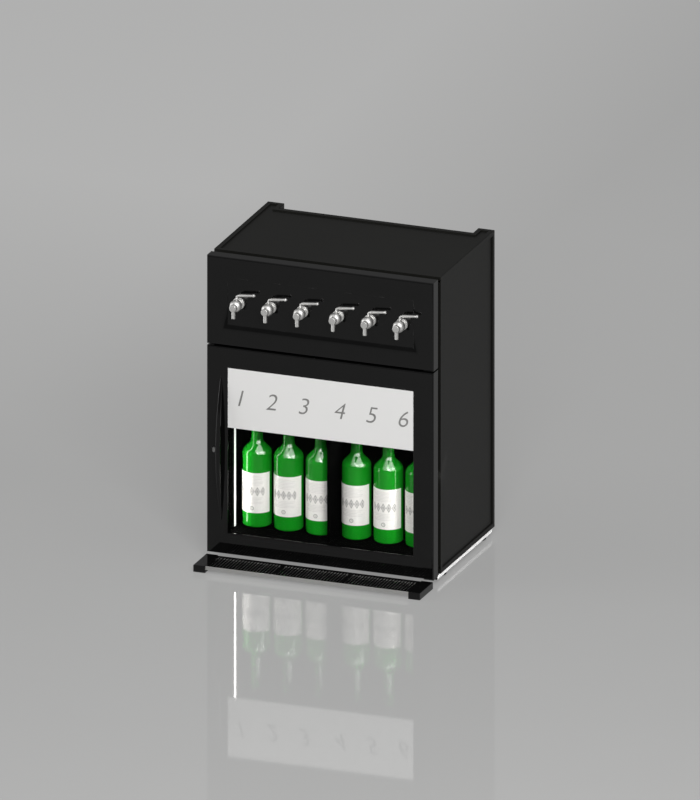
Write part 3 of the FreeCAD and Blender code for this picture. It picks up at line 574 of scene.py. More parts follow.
@dataclass(frozen=True)
class LabelPrint:
    """A plain printed design: a hatched band of lozenges between faint rules, a small ring below them and a
    faint line round all. Each mask is 1 where there is full ink, and sizes are shares of the label."""

    graph: Graph
    u: Socket
    v: Socket
    middle: float = 0.5
    faint: float = 0.22
    border_reach: float = 0.45
    border_line: float = 0.004
    lozenge_count: float = 7.0
    lozenge_line: Pair = (0.4, 0.06)
    lozenge_heart: float = 0.17
    lozenge_reach: float = 0.5
    lozenge_ink: float = 0.8
    band_middle: float = 0.54
    band_height: float = 0.24
    band_reach: float = 0.33
    hatch_lines: float = 52.0
    hatch_width: float = 0.5
    hatch_ink: float = 0.55
    ring_place: Pair = (0.5, 0.12)
    ring_narrowing: float = 0.95
    ring_line: Pair = (0.042, 0.012)
    ring_dot: float = 0.014
    ring_ink: float = 0.65
    rule_line: float = 0.0075
    rule_step: float = 0.036
    rule_blocks: tuple[tuple[float, int], ...] = ((0.92, 7), (0.38, 5))
    rule_reaches: tuple[float, ...] = (0.2, 0.29, 0.25, 0.16, 0.3, 0.27)

    def mask(self) -> Socket:
        """Returns the mask of the whole design."""
        marks = (self.lozenges(), self.ring(), self.border(), *self.rules())
        return self.graph.chained("MAXIMUM", *marks)

    def rimmed(self, distance: Socket, line: Pair, heart: float) -> Socket:
        """Draws a filled heart with a line round it.

        Args:
            distance: The distance from the heart's middle.
            line: The line's distance and half its width.
            heart: The heart's reach.

        Returns:
            The mask.
        """
        return self.graph.math(
            "MAXIMUM", self.graph.near(distance, *line), self.graph.near(distance, 0.0, heart)
        )

    def border(self) -> Socket:
        """Draws the line round the label.

        Returns:
            Its mask.
        """
        graph, middle = self.graph, self.middle
        outer, inner = (
            graph.math("MULTIPLY", graph.near(self.u, middle, reach), graph.near(self.v, middle, reach))
            for reach in (self.border_reach, self.border_reach - self.border_line)
        )
        return graph.math("MULTIPLY", graph.math("SUBTRACT", outer, inner), self.faint)

    def lozenges(self) -> Socket:
        """Draws the band of lozenges, over a lighter hatch of slanted lines.

        Returns:
            Its mask.
        """
        graph = self.graph
        cell = graph.math("FRACT", graph.math("MULTIPLY", self.u, self.lozenge_count))
        aside = graph.math("ABSOLUTE", graph.math("SUBTRACT", cell, self.middle))
        above = graph.math("ABSOLUTE", graph.math("SUBTRACT", self.v, self.band_middle))
        distance = graph.math("ADD", aside, graph.math("DIVIDE", above, self.band_height))
        outlines = self.rimmed(distance, self.lozenge_line, self.lozenge_heart)
        slant = graph.math("MULTIPLY", graph.math("ADD", self.u, self.v), self.hatch_lines)
        hatch = graph.math("GREATER_THAN", graph.math("FRACT", slant), self.hatch_width)
        hatch = graph.math("MULTIPLY", hatch, graph.near(distance, 0.0, self.lozenge_reach))
        outlines = graph.math("MULTIPLY", outlines, self.lozenge_ink)
        band = graph.math("MAXIMUM", outlines, graph.math("MULTIPLY", hatch, self.hatch_ink))
        return graph.math("MULTIPLY", band, graph.near(self.u, self.middle, self.band_reach))

    def ring(self) -> Socket:
        """Draws the small ring near the label's foot.

        Returns:
            Its mask.
        """
        graph = self.graph
        across = graph.math("SUBTRACT", self.u, self.ring_place[0])
        across = graph.math("MULTIPLY", across, self.ring_narrowing)
        up = graph.math("SUBTRACT", self.v, self.ring_place[1])
        squares = [graph.math("POWER", way, 2.0) for way in (across, up)]
        distance = graph.math("SQRT", graph.math("ADD", *squares))
        return graph.math("MULTIPLY", self.rimmed(distance, self.ring_line, self.ring_dot), self.ring_ink)

    def rules(self) -> list[Socket]:
        """Draws the faint rules above and below the band.

        Returns:
            Their masks.
        """
        graph = self.graph
        masks = []
        heights = [top - self.rule_step * i for top, count in self.rule_blocks for i in range(count)]
        for i, height in enumerate(heights):
            line = graph.math("MULTIPLY", graph.near(self.v, height, self.rule_line), self.faint)
            reach = self.rule_reaches[i % len(self.rule_reaches)]
            masks.append(graph.math("MULTIPLY", line, graph.near(self.u, self.middle, reach)))
        return masks


@dataclass(frozen=True)
class LabelPaper(Finish):
    """Uncoated label paper with its print, which follows the label's own map."""

    ink: Colour = (0.16, 0.157, 0.15)
    ink_cover: Pair = (0.7, 0.95)
    fibre: float = 0.0006
    fibre_shade: float = 0.97

    def dress(self, recipe: Recipe) -> None:
        """Prints the design over the plain paper.

        Args:
            recipe: The material's graph.
        """
        super().dress(recipe)
        spot = recipe.split(recipe.add("ShaderNodeTexCoord").outputs["UV"])
        mask = LabelPrint(recipe, spot[0], spot[1]).mask()
        fibres = recipe.noise(self.fibre)
        paper = recipe.mixed(fibres, scaled(self.colour, self.fibre_shade), self.colour)
        share = recipe.math("MULTIPLY", mask, recipe.ranged(fibres, NOISE_SPAN, self.ink_cover))
        recipe.surface({"Base Color": recipe.mixed(share, paper, self.ink)})


@dataclass(frozen=True)
class StudioFloor(Finish):
    """Pale floor that glows with a tone of its own for the eye, for glass and for polished faces, and whose
    glow carries painted light that rises to the back and to the left. It keeps the object's shadow."""

    near: float = 0.24
    rise: float = 0.105
    polished_share: float = 0.78
    tint: Colour = (1.0, 1.0, 0.995)
    back: Pair = (0.3, 2.4)
    left: Pair = (-0.4, -1.2)
    right_share: float = 0.35

    def dress(self, recipe: Recipe) -> None:
        """Adds the glow, with its painted light rising to the back and to the left, to the plain finish.

        Args:
            recipe: The material's graph.
        """
        super().dress(recipe)
        # painted light: the floor's glow grows brighter towards the back and the left
        place = recipe.split(recipe.object_place())
        back = recipe.ranged(place[1], self.back, (0.0, 1.0))
        share = recipe.math("MULTIPLY", back, recipe.ranged(place[0], self.left, (self.right_share, 1.0)))
        level = recipe.math("ADD", recipe.math("MULTIPLY", share, self.rise), self.near)
        path = recipe.add("ShaderNodeLightPath").outputs
        polished = recipe.math("MULTIPLY", path["Is Glossy Ray"], self.polished_share)
        rays = (path["Is Camera Ray"], polished, path["Is Transmission Ray"])
        seen = recipe.chained("MAXIMUM", *rays)
        recipe.surface({"Emission Strength": recipe.math("MULTIPLY", level, seen)})
        recipe.surface({"Emission Color": (*self.tint, 1.0)})


# A finish's values are its name and colour, then the roughness and its unevenness, the size of the patches,
# the size and height of the relief, and the metallic share.
FINISHES: dict[Slot, Finish] = {
    Slot.GLOSS_BLACK: Lacquer("gloss_lacquer", grey(0.0025), 0.05, 0.3, 0.08, 0.02, ior=1.41),
    Slot.CASE_BLACK: Finish(
        "powder_coat_black", (0.0068, 0.0068, 0.0058), 0.42, 0.12, 0.09, 0.0011, 0.00008, ior=1.28
    ),
    Slot.CHAMBER_BLACK: Finish("chamber_skin", grey(0.0012), 0.6, 0.15, 0.05, 0.001, 0.00002, ior=1.02),
    Slot.GALVANISED: Zinc("zinc_sheet", (0.93, 0.93, 0.92), 0.42, 0.06, 0.03, 0.0008, metallic=0.05),
    Slot.STAINLESS: TroughSteel(
        "trough_steel", (0.6, 0.595, 0.58), 0.42, 0.15, 0.04, 0.0009, 0.000004, 1.0, grain=Grain.ACROSS
    ),
    Slot.SATIN_CHROME: Finish("satin_chrome", (0.68, 0.675, 0.66), 0.52, 0.1, 0.01, 0.0004, 0.000002, 1.0),
    Slot.LOCK_CHROME: Finish("lock_chrome", (0.3, 0.3, 0.295), 0.4, 0.2, 0.005, 0.0005, 0.0, 1.0),
    Slot.DOOR_GLASS: Pane("door_pane", (0.9, 0.95, 0.93), 0.02, patch=0.03, ior=1.08),
    Slot.SIGN_WHITE: Finish("sign_acrylic", (0.74, 0.735, 0.725), 0.34, 0.012, 0.09, 0.0006, 0.000006),
    # The seal's near-black colour is partly its black rubber and partly painted shade for the gap between the
    # fronts.
    Slot.SEAL_RUBBER: Finish("seal_rubber", grey(0.001), 0.6, 0.15, 0.01, 0.0008, 0.00003, ior=1.04),
    Slot.FOOT_RUBBER: Finish("foot_rubber", grey(0.012), 0.65, 0.15, 0.01, 0.0012, 0.00005),
    Slot.FOAM: Foam("cut_foam", (0.66, 0.52, 0.27), 0.9, 0.12, 0.02, 0.0015, 0.0002),
    Slot.LIGHT_DIFFUSER: Glow("opal_diffuser", (0.9, 0.9, 0.88), 0.4, 0.04, 0.02, 0.0008),
    Slot.BOTTLE_GLASS: BottleGlass(
        "green_bottle_glass", (0.008, 0.29, 0.014), 0.05, 0.08, 0.02, relief=0.00003, ior=1.36
    ),
    Slot.STOPPER_PLASTIC: Finish("stopper_plastic", (0.018, 0.018, 0.019), 0.35, 0.12, 0.01, 0.0007, 0.00001),
    Slot.CLEAR_TUBE: ClearTube("clear_tube", (0.62, 0.64, 0.6), 0.15, 0.06, 0.02, 0.002),
    Slot.GAS_TUBE: Finish("gas_tube", (0.02, 0.05, 0.16), 0.3, 0.1, 0.02, 0.002),
    Slot.ANODISED: Finish(
        "anodised_rail", (0.16, 0.165, 0.18), 0.35, 0.1, 0.02, 0.0005, 0.000003, 1.0, grain=Grain.ACROSS
    ),
    Slot.BRASS_FITTING: Finish("turned_brass", (0.72, 0.5, 0.22), 0.28, 0.15, 0.008, 0.0005, 0.000004, 1.0),
    Slot.MACHINE_BLACK: Finish("machine_paint", (0.012, 0.012, 0.013), 0.32, 0.2, 0.03, 0.002, 0.00006),
    Slot.FIN_METAL: Finish(
        "fin_aluminium", (0.62, 0.63, 0.64), 0.36, 0.15, 0.03, 0.0008, 0.000006, 1.0, grain=Grain.UPRIGHT
    ),
    Slot.COPPER_LINE: Finish("copper_line", (0.72, 0.32, 0.17), 0.3, 0.2, 0.015, 0.0008, 0.0, 1.0),
    Slot.BOARD_GREEN: Board("circuit_board", (0.01, 0.1, 0.04), 0.4, 0.1, 0.02, 0.001),
    Slot.FAN_PLASTIC: Finish("fan_plastic", (0.02, 0.02, 0.021), 0.45, 0.15, 0.02, 0.0009, 0.00002),
    Slot.SCREW_STEEL: Finish("screw_steel", (0.42, 0.42, 0.41), 0.3, 0.2, 0.004, 0.0004, 0.0, 1.0),
}
PAPER = LabelPaper("label_paper", (0.98, 0.96, 0.935), 0.7, 0.02, 0.02, 0.0006, 0.00001)
INK = Finish("numeral_ink", (0.2, 0.198, 0.192), 0.5, 0.06, 0.02, 0.0006, 0.000005)
FLOOR = StudioFloor("studio_floor", (0.17, 0.17, 0.168), 0.035, 0.02, 0.3, 0.02, ior=1.3)


# Meshes


def arc(start: Pair, through: Pair, end: Pair, steps: int) -> list[Pair]:
    """Draws an arc of the circle through three points.

    Args:
        start: Where the arc starts.
        through: A point on its way.
        end: Where it ends.
        steps: How many points it gets.

    Returns:
        The points after start and up to end.
    """
    (ax, ay), (bx, by), (cx, cy) = start, through, end
    turn = 2 * (ax * (by - cy) + bx * (cy - ay) + cx * (ay - by))
    sa, sb, sc = ax * ax + ay * ay, bx * bx + by * by, cx * cx + cy * cy
    mx = (sa * (by - cy) + sb * (cy - ay) + sc * (ay - by)) / turn
    my = (sa * (cx - bx) + sb * (ax - cx) + sc * (bx - ax)) / turn
    radius = math.hypot(ax - mx, ay - my)
    first = math.atan2(ay - my, ax - mx)
    middle = (math.atan2(by - my, bx - mx) - first) % math.tau
    sweep = (math.atan2(cy - my, cx - mx) - first) % math.tau
    if middle > sweep:
        sweep -= math.tau
    angles = [first + sweep * (i + 1) / steps for i in range(steps)]
    return [(mx + radius * math.cos(a), my + radius * math.sin(a)) for a in angles]


def traced(outline: Sequence[Corner], steps: int = ARC_STEPS) -> list[Pair]:
    """Turns an outline into points.

    Args:
        outline: Each corner is a point, or a pair of points that an arc passes through and ends at.
        steps: How many points an arc gets.

    Returns:
        The outline's points, in order.
    """
    points: list[Pair] = []
    for corner in outline:
        if isinstance(corner[0], tuple):
            points += arc(points[-1], corner[0], corner[1], steps)
        else:
            points.append(corner)
    return points


def mesh_of(name: str, verts: Iterable[Vector], faces: Iterable[Sequence[int]]) -> Mesh:
    """Makes a mesh whose faces point outwards.

    Args:
        name: The mesh's name.
        verts: Its points.
        faces: Its faces, as numbers of points.

    Returns:
        The mesh, with doubled points merged.
    """
    mesh = bpy.data.meshes.new(name)
    mesh.from_pydata([tuple(v) for v in verts], [], [tuple(f) for f in faces])
    work = bmesh.new()
    work.from_mesh(mesh)
    bmesh.ops.remove_doubles(work, verts=work.verts, dist=MERGE)
    bmesh.ops.recalc_face_normals(work, faces=work.faces)
    return written(work, mesh)


def written(work: bmesh.types.BMesh, mesh: Mesh) -> Mesh:
    """Writes finished work to a mesh.

    Args:
        work: The work, which is closed.
        mesh: The mesh.

    Returns:
        The mesh.
    """
    work.to_mesh(mesh)
    work.free()
    return mesh


def lathe(
    name: str, outline: Sequence[Corner], foot: Vector, axis: Vector, segments: int, steps: int = ARC_STEPS
) -> Mesh:
    """Turns an outline about an axis.

    Args:
        name: The mesh's name.
        outline: Corners as (radius, distance along the axis), in millimetres.
        foot: Where the axis starts.
        axis: The axis's unit direction.
        segments: How many steps go round.
        steps: How many points an arc of the outline gets.

    Returns:
        A closed mesh.
    """
    side = ACROSS if abs(axis.x) < 0.5 else UP
    other = axis.cross(side)
    points = traced(outline, steps)
    verts: list[Vector] = []
    for turn in range(segments):
        angle = math.tau * turn / segments
        spoke = side * math.cos(angle) + other * math.sin(angle)
        verts += [foot + spoke * (r * MM) + axis * (a * MM) for r, a in points]
    count = len(points)
    faces = []
    closed = points[0][0] > 0 or points[-1][0] > 0
    for turn in range(segments):
        here, there = turn * count, (turn + 1) % segments * count
        for i in range(count if closed else count - 1):
            j = (i + 1) % count
            ring = [here + i, here + j, there + j, there + i]
            if points[i][0] == 0:
                ring = [here + i, here + j, there + j]
            elif points[j][0] == 0:
                ring = [here + i, here + j, there + i]
            faces.append(ring)
    return mesh_of(name, verts, faces)


def belts(rings: int, count: int, closed: bool = False) -> list[list[int]]:
    """Joins neighbouring rings of points by faces.

    Args:
        rings: How many rings there are.
        count: How many points each has.
        closed: Whether the last ring is joined to the first.

    Returns:
        The faces, as numbers of points.
    """
    faces = []
    for r in range(rings if closed else rings - 1):
        here, there = r * count, (r + 1) % rings * count
        for i in range(count):
            j = (i + 1) % count
            faces.append([here + i, here + j, there + j, there + i])
    return faces


def loft(name: str, rings: Sequence[Sequence[Vector]]) -> Mesh:
    """Joins rings into a closed skin with flat ends.

    Args:
        name: The mesh's name.
        rings: The rings in order, each with the same count of points.

    Returns:
        A closed mesh.
    """
    count = len(rings[0])
    verts = [v for ring in rings for v in ring]
    ends = [list(range(count)), list(range(len(verts) - count, len(verts)))]
    return mesh_of(name, verts, ends + belts(len(rings), count))


def tube(
    name: str, path: Sequence[tuple[Vector, float]], side: Vector, segments: int
) -> Mesh:
    """Sweeps a round section of changing radius along a path that lies in a plane.

    Args:
        name: The mesh's name.
        path: Points with the radius at each.
        side: The plane's unit normal.
        segments: How many steps go round.

    Returns:
        A closed mesh.
    """
    rings = []
    angles = [math.tau * t / segments for t in range(segments)]
    for i, (place, radius) in enumerate(path):
        before = path[max(i - 1, 0)][0]
        after = path[min(i + 1, len(path) - 1)][0]
        way = after - before
        if way.length < MERGE * MM:
            way = place - path[max(i - 2, 0)][0]
        level = side.cross(way.normalized())
        rings.append([place + (side * math.cos(a) + level * math.sin(a)) * radius for a in angles])
    return loft(name, rings)


def linked(name: str, data: bpy.types.ID) -> Object:
    """Puts a mesh, a curve, a light or a camera in the scene.

    Args:
        name: The object's name.
        data: What it shows.

    Returns:
        The object, at the origin.
    """
    obj = bpy.data.objects.new(name, data)
    bpy.context.scene.collection.objects.link(obj)
    return obj


def placed(name: str, mesh: Mesh, material: bpy.types.Material) -> Object:
    """Makes an object at the origin.

    Args:
        name: Its name.
        mesh: Its mesh.
        material: Its only material.

    Returns:
        The object.
    """
    mesh.materials.clear()
    mesh.materials.append(material)
    return linked(name, mesh)


def taken(obj: Object) -> Mesh:
    """Removes an object and keeps its mesh.

    Args:
        obj: The object.

    Returns:
        The mesh.
    """
    mesh = obj.data
    bpy.data.objects.remove(obj)
    return mesh


def flattened(obj: Object) -> Object:
    """Applies every modifier of an object to its mesh.

    Args:
        obj: The object.

    Returns:
        The object.
    """
    bpy.context.view_layer.update()
    graph = bpy.context.evaluated_depsgraph_get()
    shape = obj.evaluated_get(graph)
    mesh = bpy.data.meshes.new_from_object(shape, preserve_all_data_layers=True, depsgraph=graph)
    obj.modifiers.clear()
    obj.data = mesh
    return obj


def smoothed(obj: Object, edge: float = 0.0) -> Object:
    """Rounds an object's sharp edges and shades it: flat faces stay flat and round ones smooth.

    Args:
        obj: The object.
        edge: Radius of the rounded edges, in metres, or 0 to leave them sharp.

    Returns:
        The object, with the modifiers applied.
    """
    if edge:
        bevel = obj.modifiers.new("edges", "BEVEL")
        bevel.width = edge
        bevel.segments = EDGE_STEPS
        bevel.limit_method = "ANGLE"
        bevel.angle_limit = SMOOTH_ANGLE
        flattened(obj)
    mesh = obj.data
    mesh.polygons.foreach_set("use_smooth", [True] * len(mesh.polygons))
    mesh.set_sharp_from_angle(angle=SMOOTH_ANGLE)
    normals = obj.modifiers.new("normals", "WEIGHTED_NORMAL")
    normals.keep_sharp = True
    return flattened(obj)


def cut(obj: Object, tool: Mesh, operation: str = "DIFFERENCE") -> None:
    """Cuts a closed mesh from an object, or joins it on.

    Args:
        obj: The object.
        tool: The closed mesh.
        operation: DIFFERENCE to cut, or UNION to join.
    """
    other = linked("tool", tool)
    boolean = obj.modifiers.new("cut", "BOOLEAN")
    boolean.operation = operation
    boolean.object = other
    flattened(obj)
    bpy.data.objects.remove(other)


# Geometry Nodes trees


class Kind(Enum):
    """The kinds of input that a Geometry Nodes tree takes."""

    NUMBER = "NodeSocketFloat"
    COUNT = "NodeSocketInt"
    VECTOR = "NodeSocketVector"
    OBJECT = "NodeSocketObject"
    MATERIAL = "NodeSocketMaterial"


class Tree(Graph):
    """A Geometry Nodes tree with named inputs, whose result becomes a plain mesh."""

    def __init__(self, name: str, inputs: dict[Kind, Iterable[str]]) -> None:
        """Starts the tree.

        Args:
            name: The tree's name.
            inputs: The names of its inputs, by their kind.
        """
        super().__init__(bpy.data.node_groups.new(name, "GeometryNodeTree"))
        face = self.tree.interface
        for way in ("INPUT", "OUTPUT"):
            face.new_socket("Geometry", in_out=way, socket_type="NodeSocketGeometry")
        for kind, labels in {**inputs, Kind.MATERIAL: ("Material",)}.items():
            for label in labels:
                face.new_socket(label, in_out="INPUT", socket_type=kind.value)
        self.given = self.add("NodeGroupInput").outputs

    def moved(self, geometry: Socket, **way: Any) -> Socket:
        """Moves or turns a geometry by Translation and Rotation."""
        return self.add("GeometryNodeTransform", {"Geometry": geometry, **way}).outputs[0]

    def copied(self, points: Socket, shape: Socket) -> Socket:
        """Puts a copy of a shape at each point."""
        return self.add("GeometryNodeInstanceOnPoints", {"Points": points, "Instance": shape}).outputs[0]

    def end(self, *parts: Socket) -> None:
        """Joins the parts, makes instances real and sets the material.

        Args:
            parts: The geometries of the piece.
        """
        joint = self.add("GeometryNodeJoinGeometry")
        for part in parts:
            self.tree.links.new(part, joint.inputs[0])
        real = self.add("GeometryNodeRealizeInstances", {"Geometry": joint.outputs[0]})
        values = {"Geometry": real.outputs[0], "Material": self.given["Material"]}
        self.add("NodeGroupOutput", {0: self.add("GeometryNodeSetMaterial", values).outputs[0]})

    def made(
        self, name: str, carrier: Mesh, values: dict[str, Any], material: bpy.types.Material
    ) -> Object:
        """Runs the tree.

        Args:
            name: The new piece's name.
            carrier: The mesh that the tree gets as its geometry.
            values: A value for each named input.
            material: The piece's material.

        Returns:
            A piece with a plain mesh.
        """
        obj = placed(name, carrier, material)
        modifier = obj.modifiers.new("tree", "NODES")
        modifier.node_group = self.tree
        values = {**values, "Material": material}
        for item in self.tree.interface.items_tree:
            if item.in_out == "INPUT" and item.name in values:
                modifier[item.identifier] = values[item.name]
        return flattened(obj)


# The frame's nodes and the pieces on them


def slot_of(spot: bpy.types.MaterialSlot) -> Slot:
    """Returns the record's slot that a CAD node's material stands for."""
    return Slot(spot.material.name.split(".")[0])


def middle_of(node: str) -> Vector:
    """Returns the middle of a CAD node's box."""
    low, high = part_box(node)
    return Vector([(least + most) / 2 for least, most in zip(low, high)])


class Workshop:
    """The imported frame, the materials made so far, and how a piece is handed over."""

    def __init__(self, frame: dict[str, Any]) -> None:
        """Makes every slot's material.
        """
        self.nodes: dict[str, Object] = frame["nodes"]
        self.materials = {slot: finish.make() for slot, finish in FINISHES.items()}

    def cover(self) -> None:
        """Gives every CAD node that still shows the material of its slot."""
        for name, node in self.nodes.items():
            for spot in node.material_slots:
                spot.material = self.materials[slot_of(spot)]
            LOG.info("frame node %s is dressed", name)

    def piece(self, name: str, mesh: Mesh, slot: Slot) -> Object:
        """Makes an object from a mesh in the finish of a slot."""
        return placed(name, mesh, self.materials[slot])

    def hand_over(self, obj: Object, body: str, slot: Slot, *stands_for: str) -> None:
        """Puts a finished piece on its body.

        Args:
            obj: The piece.
            body: The body it rides on.
            slot: Not used.
            stands_for: The CAD nodes it replaces.
        """
        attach(obj, body)
        if stands_for:
            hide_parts(*stands_for)
        LOG.info("%s rides on %s, %d faces", obj.name, body, len(obj.data.polygons))

    def softened(self, node: str, piece: str, body: str, edge: float) -> None:
        """Replaces a CAD node by the same shape with rounded edges.

        Args:
            node: The CAD node.
            piece: The new piece's name.
            body: The body it rides on.
            edge: Radius of the rounded edges, in millimetres.
        """
        source = self.nodes[node]
        slot = slot_of(source.material_slots[0])
        work = bmesh.new()
        work.from_mesh(source.data)
        bmesh.ops.remove_doubles(work, verts=work.verts, dist=MERGE)
        bmesh.ops.dissolve_limit(work, angle_limit=FLAT_ANGLE, verts=work.verts, edges=work.edges)
        mesh = written(work, bpy.data.meshes.new(piece))
        obj = smoothed(self.piece(piece, mesh, slot), edge * MM)
        low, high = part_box(node)
        for vert in obj.data.vertices:
            vert.co = [min(max(at, least), most) for at, least, most in zip(vert.co, low, high)]
        self.hand_over(obj, body, slot, node)


@dataclass
class Assembly:
    """A part of the machine that is built in one go. SOFT lists the CAD nodes that only get rounded edges, as
    node, piece, body and the edge's radius in millimetres."""

    shop: Workshop

    SOFT = ()

    def build(self) -> None:
        """Rounds the edges of the listed nodes."""
        for row in self.SOFT:
            self.shop.softened(*row)


@dataclass
class Casing(Assembly):
    """Skins, posts, top, base and rear panel, with the rear panel's vent lips and screws. Sizes are in
    millimetres."""

    sheet: float = 2.0
    lip_wire: float = 0.7
    wire_sides: int = 8
    slot_length: float = 72.0
    slot_height: float = 6.0
    end_steps: int = 5
    end_share: float = 0.98
    columns: int = 3
    column_step: float = 95.0
    row_step: float = 18.0
    vent_fields: tuple[tuple[float, int], ...] = ((150.0, 11), (620.0, 6))
    screw_sides: int = 24
    screw_steps: int = 4
    recess_deep: float = 3.0
    recess_middle: float = 2.7
    recess_arms: tuple[Pair, ...] = ((3.4, 0.9), (0.9, 3.4))

    SKINS = ("side_panel_left", "side_panel_right", "top_panel", "rear_posts", "base_frame", "base_pan")
    SOFT = tuple((node, f"{node}_skin", "cabinet", 0.6) for node in SKINS)
    SCREW = ((0, -7.5), (2, -7.5), (2, 0), (4.2, 0), (4.2, 0.8), ((3.6, 1.9), (1.6, 2.4)), (0, 2.4))

    def build(self) -> None:
        """Builds the casing's pieces."""
        super().build()
        self.vents()
        self.screws()

    def rear_face(self) -> float:
        """Returns where the rear panel's outer face lies, in metres."""
        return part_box("rear_panel")[0].y + self.sheet * MM

    def vent_tree(self) -> Tree:
        """Plans a field of slot lips: a wire along each slot's edge.

        Returns:
            The tree.
        """
        tree = Tree(
            "vent_lips",
            {
                Kind.COUNT: ("Columns", "Rows"),
                Kind.NUMBER: (
                    "Field width", "Field height", "Slot length", "Slot height", "Corner radius", "Wire"
                ),
                Kind.VECTOR: ("Field middle",),
            },
        )
        given = tree.given
        field = {
            "Size X": given["Field width"],
            "Size Y": given["Field height"],
            "Vertices X": given["Columns"],
            "Vertices Y": given["Rows"],
        }
        upright = (math.pi / 2, 0, 0)
        grid = tree.add("GeometryNodeMeshGrid", field).outputs[0]
        spots = tree.moved(grid, Rotation=upright, Translation=given["Field middle"])
        oblong = {"Width": given["Slot length"], "Height": given["Slot height"]}
        slot = tree.add("GeometryNodeCurvePrimitiveQuadrilateral", oblong).outputs[0]
        ends = {"Curve": slot, "Count": self.end_steps, "Radius": given["Corner radius"]}
        rounded = tree.add("GeometryNodeFilletCurve", ends, mode="POLY").outputs[0]
        circle = {"Resolution": self.wire_sides, "Radius": given["Wire"]}
        wire = tree.add("GeometryNodeCurvePrimitiveCircle", circle).outputs[0]
        swept = {"Curve": rounded, "Profile Curve": wire}
        lip = tree.add("GeometryNodeCurveToMesh", swept).outputs[0]
        lip = tree.add("GeometryNodeSetShadeSmooth", {"Geometry": lip}).outputs[0]
        tree.end(tree.copied(spots, tree.moved(lip, Rotation=upright)))
        return tree

    def vents(self) -> None:
        """Adds a rolled lip round each vent slot of the rear panel."""
        tree = self.vent_tree()
        length, tall = (size * MM + self.lip_wire * MM for size in (self.slot_length, self.slot_height))
        for number, (low, rows) in enumerate(self.vent_fields, 1):
            height = self.row_step * MM * (rows - 1)
            values = {
                "Columns": self.columns,
                "Rows": rows,
                "Field width": (self.columns - 1) * self.column_step * MM,
                "Field height": height,
                "Field middle": (0.0, self.rear_face(), low * MM + height / 2),
                "Slot length": length,
                "Slot height": tall,
                "Corner radius": tall / 2 * self.end_share,
                "Wire": self.lip_wire * MM,
            }
            carrier = bpy.data.meshes.new("vent_lips")
            obj = tree.made(f"vent_lips_{number}", carrier, values, self.shop.materials[Slot.CASE_BLACK])
            self.shop.hand_over(obj, "cabinet", Slot.CASE_BLACK)

    def screw(self) -> Object:
        """Makes one pan head screw with a cross recess.

        Returns:
            The screw, with its head's foot at the origin.
        """
        mesh = lathe("screw", self.SCREW, Vector(), REARWARD, self.screw_sides, self.screw_steps)
        screw = self.shop.piece("screw", mesh, Slot.SCREW_STEEL)
        for wide, tall in self.recess_arms:
            arm = bmesh.new()
            size = Matrix.Diagonal((wide * MM, self.recess_deep * MM, tall * MM, 1))
            middle = Matrix.Translation((0, self.recess_middle * MM, 0))
            bmesh.ops.create_cube(arm, size=1, matrix=middle @ size)
            cut(screw, written(arm, bpy.data.meshes.new("recess")))
        return smoothed(screw)

    def screws(self) -> None:
        """Replaces the rear panel's screws by pan heads with cross recesses."""
        node = "rear_panel_screws"
        screw = self.screw()
        tree = Tree("panel_screws", {Kind.OBJECT: ("Screw",)})
        shape = tree.add("GeometryNodeObjectInfo", {"Object": tree.given["Screw"]}).outputs["Geometry"]
        tree.end(tree.copied(tree.given["Geometry"], shape))
        carrier = bpy.data.meshes.new(node)
        places = [(place.x, self.rear_face(), place.z) for place in island_middles(self.shop.nodes[node])]
        carrier.from_pydata(places, [], [])
        steel = self.shop.materials[Slot.SCREW_STEEL]
        obj = tree.made("cross_head_screws", carrier, {"Screw": screw}, steel)
        bpy.data.objects.remove(screw)
        self.shop.hand_over(obj, "cabinet", Slot.SCREW_STEEL, node)


def island_middles(obj: Object) -> list[Vector]:
    """Finds the separate pieces in a node's mesh.

    Args:
        obj: The node.

    Returns:
        The middle of each piece's box, from left to right.
    """
    work = bmesh.new()
    work.from_mesh(obj.data)
    bmesh.ops.remove_doubles(work, verts=work.verts, dist=MERGE)
    waiting = set(work.verts)
    middles = []
    while waiting:
        front = [waiting.pop()]
        found = list(front)
        while front:
            near = {e.other_vert(v) for v in front for e in v.link_edges} & waiting
            waiting -= near
            front = list(near)
            found += front
        low, high = (Vector([end(v.co[i] for v in found) for i in range(3)]) for end in (min, max))
        middles.append((low + high) / 2)
    work.free()
    return sorted(middles, key=lambda m: (round(m.x, SORT_DIGITS), m.z))


